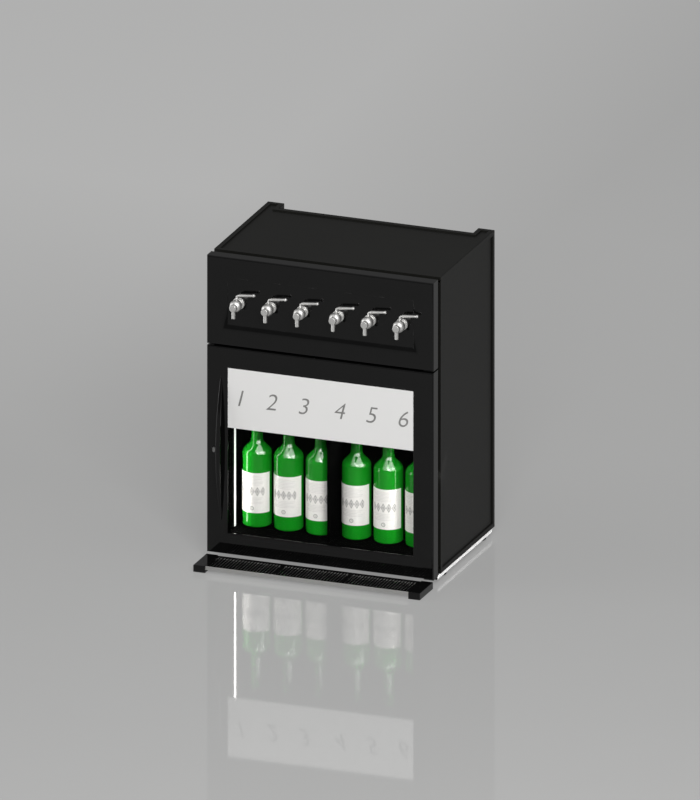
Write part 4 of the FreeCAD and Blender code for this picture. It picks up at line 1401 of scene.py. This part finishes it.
@dataclass
class MouldedFrame:
    """A front frame of four mitred rails: a rounded outer edge, a flat rim and a convex moulding that falls
    to the panel, which is the glass or the plate. Sizes are in millimetres."""

    shop: Workshop
    node: str
    piece: str
    body: str
    panel: str
    width: float = 54.5
    drop: float = 4.0
    rim: float = 28.0
    edge: float = 4.0
    rear_edge: float = 3.0
    lip: float = 0.5
    lip_share: float = 0.4
    groove: float = 3.0
    back_chamfer: float = 4.0
    arc_steps: int = 14

    def section(self) -> list[Pair]:
        """Works out the rail's section.

        Returns:
            Points as (inset from the outer edge, depth behind the front).
        """
        low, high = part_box(self.node)
        panel_low, panel_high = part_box(self.panel)
        seat, back, depth = ((y - low.y) / MM for y in (panel_low.y, panel_high.y, high.y))
        run = self.width - self.rim
        radius = (run * run + self.drop * self.drop) / (2 * self.drop)
        half_turn = math.asin(run / radius) / 2
        middle = (self.rim + radius * math.sin(half_turn), radius * (1 - math.cos(half_turn)))
        corner, rear = (size * (1 - math.sqrt(0.5)) for size in (self.edge, self.rear_edge))
        fall = (self.width - self.lip, self.drop - self.lip * self.lip_share)
        outline: list[Corner] = [
            (self.rear_edge, depth),
            ((rear, depth - rear), (0, depth - self.rear_edge)),
            (0, self.edge),
            ((corner, corner), (self.edge, 0)),
            (self.rim, 0),
            (middle, fall),
            (self.width, self.drop + self.lip * (1 - self.lip_share)),
            (self.width, seat),
            (self.width - self.groove, seat),
            (self.width - self.groove, back),
            (self.width, back),
            (self.width, depth - self.back_chamfer),
            (self.width - self.back_chamfer, depth),
        ]
        return traced(outline, self.arc_steps)

    def build(self) -> Object:
        """Builds the frame round its panel.

        Returns:
            The frame's object, not yet handed over.
        """
        low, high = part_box(self.node)
        section = self.section()
        verts = []
        for inset, depth in section:
            left, right = low.x + inset * MM, high.x - inset * MM
            bottom, top = low.z + inset * MM, high.z - inset * MM
            corners = ((left, bottom), (right, bottom), (right, top), (left, top))
            verts += [Vector((x, low.y + depth * MM, z)) for x, z in corners]
        faces = belts(len(section), len(corners), closed=True)
        return self.shop.piece(self.piece, mesh_of(self.piece, verts, faces), Slot.GLOSS_BLACK)

    def finish(self, obj: Object) -> None:
        """Shades the frame and hands it over. Its faces behind the panel are left as moulded, dull and dark.

        Args:
            obj: The frame's object.
        """
        smoothed(obj)
        obj.data.materials.append(self.shop.materials[Slot.CHAMBER_BLACK])
        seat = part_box(self.panel)[0].y
        low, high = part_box(self.node)
        for face in obj.data.polygons:
            x, y, z = face.center
            inset = min(x - low.x, high.x - x, z - low.z, high.z - z)
            if y > seat and inset > self.rim * MM:
                face.material_index = 1
        self.shop.hand_over(obj, self.body, Slot.GLOSS_BLACK, self.node)


@dataclass
class Fronts(Assembly):
    """The tap panel and the door, each a moulded frame round its panel. Sizes are in millimetres."""

    hinge: Pair = (290.0, -150.0)
    pin_bore: Pair = (4.05, 18.0)
    lock_bore: Pair = (6.0, 21.0)
    bore_sides: int = 32
    handle_end: float = 2.6
    handle_foot: float = 26.0
    handle_bar: float = 8.5
    handle_sunk: float = 5.0
    handle_square: float = 0.6
    handle_stations: int = 72
    handle_sides: int = 24
    numeral_size: float = 62.0
    numeral_thick: float = 0.15
    numeral_thinned: float = 0.6
    numeral_slant: float = 0.25

    SOFT = (
        ("tap_panel_plate", "tap_plate", "cabinet", 0.4),
        ("tap_panel_spacer", "tap_panel_carrier", "cabinet", 0.5),
        ("hinge_brackets", "hinge_plates", "cabinet", 0.3),
        ("door_gasket", "door_seal", "door", 0.5),
        ("sign_panel", "sign_board", "door", 0.4),
    )

    def build(self) -> None:
        """Builds both frames and the flat pieces in and behind them."""
        panel = MouldedFrame(self.shop, "tap_panel_frame", "tap_panel_moulding", "cabinet", "tap_panel_plate")
        panel.finish(panel.build())
        frame = MouldedFrame(self.shop, "door_frame", "door_moulding", "door", "door_glass")
        door = frame.build()
        self.bore_door(door)
        frame.finish(door)
        super().build()
        self.handle()
        self.numerals()

    def bore_door(self, door: Object) -> None:
        """Bores the door frame for its hinge pins and its lock.

        Args:
            door: The door frame.
        """
        low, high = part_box("door_frame")
        radius, depth = self.pin_bore
        pin: list[Corner] = [(0, -1), (radius, -1), (radius, depth), (0, depth)]
        for z, way in ((low.z, UP), (high.z, -UP)):
            foot = Vector((self.hinge[0] * MM, self.hinge[1] * MM, z))
            cut(door, lathe("bore", pin, foot, way, self.bore_sides))
        sleeve_low, sleeve_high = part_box("lock_housing")
        middle = (sleeve_low + sleeve_high) / 2
        radius, depth = self.lock_bore
        sleeve: list[Corner] = [(0, 0), (radius, 0), (radius, depth), (0, depth)]
        mouth = Vector((middle.x, low.y - MM, middle.z))
        cut(door, lathe("bore", sleeve, mouth, REARWARD, self.bore_sides))

    def handle(self) -> None:
        """Builds the bowed handle: a bar with rounded edges, widest at its middle, with both feet in the
        moulding."""
        low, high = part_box("door_handle")
        middle_x, half_wide = (low.x + high.x) / 2, (high.x - low.x) / 2
        middle_z, reach = (low.z + high.z) / 2, (high.z - low.z) / 2
        half_end = self.handle_end * MM
        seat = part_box("door_frame")[0].y
        bow = seat - low.y
        sunk = seat + self.handle_sunk * MM
        turns = [math.tau * t / self.handle_sides for t in range(self.handle_sides)]
        rings = []
        for i in range(self.handle_stations + 1):
            share = -math.cos(math.pi * i / self.handle_stations)
            rise = 1 - share * share
            half = half_end + (half_wide - half_end) * rise
            front = seat + MM - (bow + MM) * rise
            free = front + self.handle_bar * MM
            blend = min(1.0, reach * (1 - abs(share)) / (self.handle_foot * MM))
            blend = blend * blend * (3 - 2 * blend)
            back = sunk + (free - sunk) * blend
            centre, deep = (front + back) / 2, (back - front) / 2
            ring = []
            for turn in turns:
                x, y = (
                    math.copysign(abs(way) ** self.handle_square, way) * size
                    for way, size in ((math.cos(turn), half), (math.sin(turn), deep))
                )
                ring.append(Vector((middle_x + x, centre + y, middle_z + reach * share)))
            rings.append(ring)
        obj = self.shop.piece("bow_handle", loft("bow_handle", rings), Slot.GLOSS_BLACK)
        self.shop.hand_over(smoothed(obj), "door", Slot.GLOSS_BLACK, "door_handle")

    def numeral(self, number: int) -> Mesh:
        """Cuts one plain numeral.

        Args:
            number: Which one.

        Returns:
            Its mesh, flat about the origin.
        """
        curve = bpy.data.curves.new("numeral", "FONT")
        curve.body = str(number)
        curve.size = self.numeral_size * MM
        curve.shear = self.numeral_slant
        curve.align_x = curve.align_y = "CENTER"
        curve.extrude = self.numeral_thick * MM
        curve.offset = -self.numeral_thinned * MM
        text = linked("numeral", curve)
        bpy.context.view_layer.update()
        mesh = bpy.data.meshes.new_from_object(text.evaluated_get(bpy.context.evaluated_depsgraph_get()))
        bpy.data.objects.remove(text)
        return mesh

    def numerals(self) -> None:
        """Prints the numerals on the sign, one in line with each tap."""
        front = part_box("sign_panel")[0].y - self.numeral_thick * MM / 2
        work = bmesh.new()
        for number in STATIONS:
            mesh = self.numeral(number)
            middle = Vector((middle_of(f"tap_body_{number}").x, front, middle_of("sign_panel").z))
            mesh.transform(Matrix.Translation(middle) @ STOOD_UP)
            work.from_mesh(mesh)
        mesh = written(work, bpy.data.meshes.new("sign_numerals"))
        self.shop.hand_over(placed("sign_numerals", mesh, INK.make()), "door", Slot.SIGN_WHITE)


@dataclass
class TapRow(Assembly):
    """Six taps: a turned body with a spout, and a cranked lever on a stem. Sizes are in millimetres, and a
    bore has its radius, start and end."""

    flange: float = 15.3
    barrel_sides: int = 64
    barrel_steps: int = 6
    nut_sides: int = 6
    stem_reach: float = 15.4
    stem_bore: Triple = (3.05, -7.0, 20.0)
    spout_reach: float = 38.8
    spout_radius: float = 5.0
    spout_edge: float = 0.5
    spout_bore: Triple = (3.5, -4.0, -40.0)
    spout_drop: float = 28.0
    spout_sides: int = 40
    bore_sides: int = 32
    lever_length: float = 44.75
    lever_rise: float = 6.5
    lever_sides: int = 32
    bend: float = 6.0
    bend_steps: int = 8
    knee: float = 19.3
    thin: float = 2.7
    neck: float = 3.0
    ball: float = 4.2
    ball_steps: int = 12
    ball_end: float = 0.15

    BARREL = (
        (0, -54),
        (2, -54),
        (2.6, -43),
        (7.6, -43),
        (8, -42.6),
        (8, 0.1),
        (15, 0.1),
        (15.3, 0.4),
        (15.3, 3.4),
        ((15.05, 4.1), (14.4, 4.4)),
        (10.6, 4.8),
        ((10.15, 5.1), (10, 5.6)),
        (10, 7.8),
        ((10.3, 8.4), (11, 8.7)),
        ((13.9, 15.8), (14.9, 24.4)),
        ((14, 29.1), (10.4, 32.9)),
        (8.4, 34.2),
        ((8.15, 34.6), (8.1, 35)),
        ((8.3, 35.9), (8.9, 36.7)),
        (8.9, 45),
        ((8.65, 45.8), (7.9, 46.3)),
        (0, 46.3),
    )
    NUT = ((8, -14), (12.2, -14), (13, -13.2), (13, -6.8), (12.2, -6), (8, -6))
    STEM = ((-6, 0.2), (-6, 3), (15.2, 3), (15.2, 4), (15.5, 4.3), (17, 4.3), (17.4, 4), (17.6, 3.2))
    ARM = ((0.8, 3.2), (1.6, 3.7), (2.4, 3.9), (6, 3.9))

    def build(self) -> None:
        """Builds one body and one lever, and stands a copy of each at every station."""
        plate_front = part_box("tap_panel_plate")[0].y
        body, lever = self.body(), self.lever()
        chrome = Slot.SATIN_CHROME
        for number in STATIONS:
            low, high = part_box(f"tap_body_{number}")
            station = Vector(((low.x + high.x) / 2, plate_front, high.z - self.flange * MM))
            for mesh, node, piece, rides in (
                (body, f"tap_body_{number}", f"tap_{number}", "cabinet"),
                (lever, f"tap_lever_{number}", f"lever_arm_{number}", f"lever_{number}"),
            ):
                copy = mesh.copy()
                copy.transform(Matrix.Translation(station))
                self.shop.hand_over(self.shop.piece(piece, copy, chrome), rides, chrome, node)

    def body(self) -> Mesh:
        """Turns and bores one tap's body.

        Returns:
            Its mesh, with its flange's foot at the origin.
        """
        radius, edge, drop = self.spout_radius, self.spout_edge, self.spout_drop
        spout = [(0, 0), (radius, 0), (radius, -drop + edge), (radius - edge, -drop), (0, -drop)]
        barrel = lathe("tap", self.BARREL, Vector(), FORWARD, self.barrel_sides, self.barrel_steps)
        obj = self.shop.piece("tap", barrel, Slot.SATIN_CHROME)
        mouth = Vector((0, -self.spout_reach, 0)) * MM
        stem = Vector((0, -self.stem_reach, 0)) * MM
        cut(obj, lathe("spout", spout, mouth, UP, self.spout_sides), "UNION")
        for foot, (radius, start, end) in ((mouth, self.spout_bore), (stem, self.stem_bore)):
            bore = [(0, start), (radius, start), (radius, end), (0, end)]
            cut(obj, lathe("bore", bore, foot, UP, self.bore_sides))
        cut(obj, lathe("nut", self.NUT, Vector(), FORWARD, self.nut_sides, 1), "UNION")
        return taken(smoothed(obj))

    def lever(self) -> Mesh:
        """Bends one lever: stem, collar, bend, tapered arm and ball.

        Returns:
            Its mesh, with the stem in its place in the barrel.
        """
        rise = math.radians(self.lever_rise)
        start = Vector((0, -self.stem_reach, 0)) * MM
        path = [(start + UP * (z * MM), r * MM) for z, r in (*self.STEM, (self.knee, self.thin))]
        centre = start + Vector((self.bend, 0, self.knee)) * MM
        turn = math.pi / 2 - rise
        for i in range(1, self.bend_steps + 1):
            a = math.pi - turn * i / self.bend_steps
            spoke = Vector((math.cos(a), 0, math.sin(a)))
            path.append((centre + spoke * (self.bend * MM), self.thin * MM))
        elbow = path[-1][0]
        way = Vector((math.cos(rise), 0, math.sin(rise)))
        length = (self.lever_length - (elbow.x - start.x) / MM) / math.cos(rise)
        ball, opening = self.ball, math.asin(self.neck / self.ball)
        arm = [*self.ARM, (length - math.sqrt(ball * ball - self.neck * self.neck), self.neck)]
        for i in range(1, self.ball_steps):
            a = opening + (math.pi - opening) * i / self.ball_steps
            arm.append((length - ball * math.cos(a), ball * math.sin(a)))
        arm.append((length + ball, self.ball_end))
        path += [(elbow + way * (a * MM), r * MM) for a, r in arm]
        mesh = tube("lever", path, REARWARD, self.lever_sides)
        return taken(smoothed(self.shop.piece("lever", mesh, Slot.SATIN_CHROME)))


@dataclass
class BottleRow(Assembly):
    """Six bottles, each with a wrapped label. Sizes are in millimetres."""

    bottle_sides: int = 72
    bottle_steps: int = 10
    label_low: float = 38.9
    label_high: float = 143.6
    label_wrap: float = 76.0
    label_gap: float = 0.05
    label_thickness: float = 0.15
    label_columns: int = 40

    RADIUS = 37.3
    WALL = 2.8
    FORM = (
        (0, 16),
        ((14.4, 12.8), (26, 2.2)),
        (28.5, 0),
        (31.8, 0),
        ((35.69, 1.61), (RADIUS, 5.5)),
        (RADIUS, 187),
        ((35.2, 195.6), (29.8, 202.7)),
        (19.8, 212.7),
        ((16.2, 217.6), (14.7, 223.5)),
        (13.9, 284),
        ((14.9, 284.6), (15.2, 286)),
        (15.2, 295),
        ((14.8, 299.2), (13.4, 300)),
        (10.3, 300),
        (9.3, 299),
        (9.3, 256),
        (11.8, 225),
        (17.6, 211),
        (28, 200.5),
        (32.6, 194.5),
        (RADIUS - WALL, 187),
        (RADIUS - WALL, 7.5),
        (31, 5.2),
        ((16, 15.6), (0, 19)),
    )

    def build(self) -> None:
        """Builds one bottle and one label, and stands a copy of each at every place."""
        bottle, label = self.bottle(), self.label()
        glass, paper = Slot.BOTTLE_GLASS, PAPER.make()
        for number in STATIONS:
            node = f"bottle_{number}"
            middle = middle_of(node)
            place = Matrix.Translation((middle.x, middle.y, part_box(node)[0].z))
            shell, wrap = bottle.copy(), label.copy()
            shell.transform(place)
            wrap.transform(place)
            shell = self.shop.piece(f"wine_bottle_{number}", shell, glass)
            self.shop.hand_over(shell, "cabinet", glass, node)
            self.shop.hand_over(placed(f"bottle_label_{number}", wrap, paper), "cabinet", Slot.SIGN_WHITE)

    def bottle(self) -> Mesh:
        """Blows one bottle.

        Returns:
            Its mesh, standing at the origin.
        """
        mesh = lathe("bottle", self.FORM, Vector(), UP, self.bottle_sides, self.bottle_steps)
        return taken(smoothed(self.shop.piece("bottle", mesh, Slot.BOTTLE_GLASS)))

    def label(self) -> Mesh:
        """Wraps one label round a bottle at the origin.

        Returns:
            Its mesh, with its print's map.
        """
        columns, low, high = self.label_columns, self.label_low, self.label_high
        inner = self.RADIUS + self.label_gap
        outer = inner + self.label_thickness
        wrap = math.radians(self.label_wrap)
        edges = ((outer, low), (outer, high), (inner, high), (inner, low))
        rings, places = [], []
        for i in range(columns + 1):
            angle = -math.pi / 2 - wrap + 2 * wrap * i / columns
            rings.append([Vector((math.cos(angle) * r, math.sin(angle) * r, z)) * MM for r, z in edges])
            places += [(i / columns, (z - low) / (high - low)) for _, z in edges]
        mesh = loft("label", rings)
        layer = mesh.uv_layers.new(name="print")
        for loop in mesh.loops:
            layer.data[loop.index].uv = places[loop.vertex_index]
        return taken(smoothed(self.shop.piece("label", mesh, Slot.SIGN_WHITE)))


@dataclass
class Chamber(Assembly):
    """Shelf, divider and light strips inside the chamber."""

    SOFT = (
        ("bottle_shelf", "bottle_deck", "cabinet", 0.5),
        ("chamber_divider", "divider_wall", "cabinet", 0.8),
        ("light_strips", "light_bars", "cabinet", 0.3),
    )


@dataclass
class DripTray(Assembly):
    """End caps, pan and three slotted grids. Sizes are in millimetres."""

    slots: int = 21
    pitch: float = 8.1
    slot_width: float = 4.5
    front_rail: float = 3.9
    rear_rail: float = 7.5
    overlap: float = 0.8
    edge: float = 0.45

    SOFT = (("tray_end_caps", "tray_caps", "drip_tray", 1.2), ("drip_pan", "tray_pan", "drip_tray", 0.4))
    RAILS = ("Front rail", "Rear rail", "Left rail", "Right rail")

    def build(self) -> None:
        """Builds the tray's pieces."""
        super().build()
        tree = self.tree()
        for side in ("left", "centre", "right"):
            self.grid(tree, side)

    def tree(self) -> Tree:
        """Plans a slotted grid: four rails and a row of bars.

        Returns:
            The tree.
        """
        rails = [f"{rail} {word}" for rail in self.RAILS for word in ("size", "middle")]
        tree = Tree(
            "slotted_grid", {Kind.VECTOR: (*rails, "Bar size", "First bar", "Step"), Kind.COUNT: ("Bars",)}
        )
        given = tree.given
        parts = []
        for rail in self.RAILS:
            beam = tree.add("GeometryNodeMeshCube", {"Size": given[f"{rail} size"]}).outputs[0]
            parts.append(tree.moved(beam, Translation=given[f"{rail} middle"]))
        values = {"Count": given["Bars"], "Start Location": given["First bar"], "Offset": given["Step"]}
        row = tree.add("GeometryNodeMeshLine", values).outputs[0]
        bar = tree.add("GeometryNodeMeshCube", {"Size": given["Bar size"]}).outputs[0]
        tree.end(*parts, tree.copied(row, bar))
        return tree

    def grid(self, tree: Tree, side: str) -> None:
        """Builds one grid in place of its CAD node.

        Args:
            tree: The grid's tree.
            side: Which grid it is.
        """
        node = f"grid_{side}"
        low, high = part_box(node)
        middle = (low + high) / 2
        size = high - low
        pitch, front, rear = self.pitch * MM, self.front_rail * MM, self.rear_rail * MM
        field = (self.slots - 1) * self.pitch * MM + self.slot_width * MM
        end = (size.x - field) / 2
        bar_low, bar_high = low.y + front, high.y - rear
        bar_y = (bar_low + bar_high) / 2
        bar_wide = (self.pitch - self.slot_width) * MM
        bar = Vector((bar_wide, bar_high - bar_low + self.overlap * MM, size.z))
        values = {
            "Front rail size": Vector((size.x, front, size.z)),
            "Front rail middle": Vector((middle.x, low.y + front / 2, middle.z)),
            "Rear rail size": Vector((size.x, rear, size.z)),
            "Rear rail middle": Vector((middle.x, high.y - rear / 2, middle.z)),
            "Left rail size": Vector((end, bar.y, size.z)),
            "Left rail middle": Vector((low.x + end / 2, bar_y, middle.z)),
            "Right rail size": Vector((end, bar.y, size.z)),
            "Right rail middle": Vector((high.x - end / 2, bar_y, middle.z)),
            "Bars": self.slots - 1,
            "Bar size": bar,
            "First bar": Vector((middle.x - (self.slots - 2) / 2 * pitch, bar_y, middle.z)),
            "Step": Vector((pitch, 0, 0)),
        }
        black = self.shop.materials[Slot.GLOSS_BLACK]
        obj = tree.made(f"slotted_grid_{side}", bpy.data.meshes.new(node), values, black)
        smoothed(obj, self.edge * MM)
        self.shop.hand_over(obj, f"{side}_grid", Slot.GLOSS_BLACK, node)


# The studio


@dataclass(frozen=True)
class SoftLamp:
    """A soft rectangular lamp that faces the object. Its angles are in degrees, to the right of the front and
    above the floor, its sizes in metres and its power in watts."""

    name: str
    size: Pair
    power: float
    azimuth: float = 0.0
    elevation: float = 0.0
    distance: float = 0.0
    target: Triple = (0.0, 0.0, 0.4)

    def made(self) -> Object:
        """Makes the lamp.

        Returns:
            The lamp, at the origin.
        """
        light = bpy.data.lights.new(self.name, "AREA")
        light.shape = "RECTANGLE"
        light.size, light.size_y = self.size
        light.energy = self.power
        return linked(self.name, light)

    def hung(self) -> Object:
        """Hangs the lamp in its place.

        Returns:
            The lamp.
        """
        lamp = self.made()
        aim(lamp, Vector(self.target), direction(self.azimuth, self.elevation), self.distance)
        return lamp


@dataclass
class Studio:
    """Floor, world, lamps and camera."""

    floor_size: float = 16.0
    floor_sink: float = 0.2 * MM
    horizon_rise: float = 0.1
    horizon: float = 0.12
    zenith: float = 0.36
    backdrop: float = 0.36
    azimuth: float = 20.85
    elevation: float = 19.48
    view_height: float = 1.97922
    distance: float = 12.0
    clip: Pair = (1.0, 48.0)
    target: Triple = (0.00025, 0.0413, 0.38864)
    neck_light_spread: float = 120.0
    neck_light_place: Triple = (0.056, -0.0685, -0.051)
    neck_light_turn: float = 43.0
    neck_light_tilt: float = 45.0

    LAMPS = (
        SoftLamp("key_light", (2.6, 2.6), 312, 27, 32, 6.0),
        SoftLamp("fill_light", (3.6, 2.8), 125, -66, 10, 6.0),
        SoftLamp("top_light", (2.6, 2.6), 20, 90, 74, 5.0),
    )
    BASE_LAMP = SoftLamp("base_light", (1.2, 0.2), 8.5, 90, -12.0, 1.3)
    NECK_LAMP = SoftLamp("neck_light", (0.1, 0.11), 0.225)

    def build(self) -> None:
        """Sets the whole studio up."""
        bpy.context.scene.view_settings.view_transform = "Standard"
        self.floor()
        self.world()
        for lamp in self.LAMPS:
            lamp.hung()
        self.neck_lights()
        self.camera()

    def floor(self) -> None:
        """Lays the plain floor."""
        half = self.floor_size / 2
        corners = ((-half, -half), (half, -half), (half, half), (-half, half))
        mesh = bpy.data.meshes.new("studio_floor")
        mesh.from_pydata([(x, y, -self.floor_sink) for x, y in corners], [], [(0, 1, 2, 3)])
        placed("studio_floor", mesh, FLOOR.make())

    def world(self) -> None:
        """Makes a plain room that is brighter overhead, and as pale as the floor where it is seen itself."""
        world = bpy.data.worlds.new("studio_world")
        bpy.context.scene.world = world
        world.use_nodes = True
        graph = Graph(world.node_tree)
        height = graph.split(graph.add("ShaderNodeTexCoord").outputs["Generated"])[2]
        level = graph.ranged(height, (self.horizon_rise, 1.0), (self.horizon, self.zenith))
        camera_ray = graph.add("ShaderNodeLightPath").outputs["Is Camera Ray"]
        seen = graph.math("MULTIPLY", camera_ray, self.backdrop)
        values = {"Strength": graph.math("MAXIMUM", level, seen), "Color": (1.0, 1.0, 1.0, 1.0)}
        graph.fill(world.node_tree.nodes["Background"], values)

    def base_lights(self, pan: Object) -> None:
        """Hangs a low lamp on each side, which only shines on the bright base pan.

        Args:
            pan: The base pan.
        """
        lit = bpy.data.collections.new("lit_by_the_base_lights")
        lit.objects.link(pan)
        for side in (-1, 1):
            azimuth = self.BASE_LAMP.azimuth * side
            lamp = replace(self.BASE_LAMP, name=f"base_light_{side}", azimuth=azimuth).hung()
            lamp.visible_camera = False
            lamp.light_linking.receiver_collection = lit

    def neck_lights(self) -> None:
        """Hangs a small lamp beside each bottle's mouth, which lights no diffuse surface and so shows mostly
        on its shoulder.
        """
        for number in STATIONS:
            node = f"bottle_{number}"
            middle = middle_of(node)
            lamp = replace(self.NECK_LAMP, name=f"neck_light_{number}").made()
            lamp.data.spread = math.radians(self.neck_light_spread)
            mouth = Vector((middle.x, middle.y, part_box(node)[1].z))
            lamp.location = mouth + Vector(self.neck_light_place)
            tilt, turn = math.radians(self.neck_light_tilt), math.radians(self.neck_light_turn)
            lamp.rotation_euler = (tilt, 0, turn)
            lamp.visible_diffuse = False

    def camera(self) -> None:
        """Sets the camera, which sees without perspective."""
        data = bpy.data.cameras.new("camera")
        data.type = "ORTHO"
        data.ortho_scale = self.view_height
        data.clip_start, data.clip_end = self.clip
        camera = linked("camera", data)
        aim(camera, Vector(self.target), direction(self.azimuth, self.elevation), self.distance)
        bpy.context.scene.camera = camera


def direction(azimuth: float, elevation: float) -> Vector:
    """Finds the way to a place round the object.

    Args:
        azimuth: Its angle to the right of the front, in degrees.
        elevation: Its angle above the floor, in degrees.

    Returns:
        The unit vector towards it.
    """
    a, e = math.radians(azimuth), math.radians(elevation)
    return Vector((math.sin(a) * math.cos(e), -math.cos(a) * math.cos(e), math.sin(e)))


def aim(obj: Object, target: Vector, back: Vector, distance: float) -> None:
    """Sets a lamp or a camera so that it faces a point.

    Args:
        obj: The lamp or camera.
        target: The point.
        back: The unit vector from the point to the lamp or camera.
        distance: How far off it is.
    """
    obj.location = target + back * distance
    obj.rotation_euler = (-back).to_track_quat("-Z", "Y").to_euler()


def main() -> None:
    """Builds the looks in order."""
    logging.basicConfig(level=logging.INFO, format="%(name)s: %(message)s")
    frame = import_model()
    studio = Studio()
    studio.build()
    shop = Workshop(frame)
    for assembly in (Casing, Fronts, TapRow, BottleRow, Chamber, DripTray):
        assembly(shop).build()
        LOG.info("%s is built", assembly.__name__)
    studio.base_lights(bpy.data.objects["base_pan_skin"])
    shop.cover()


if __name__ == "__main__":
    main()
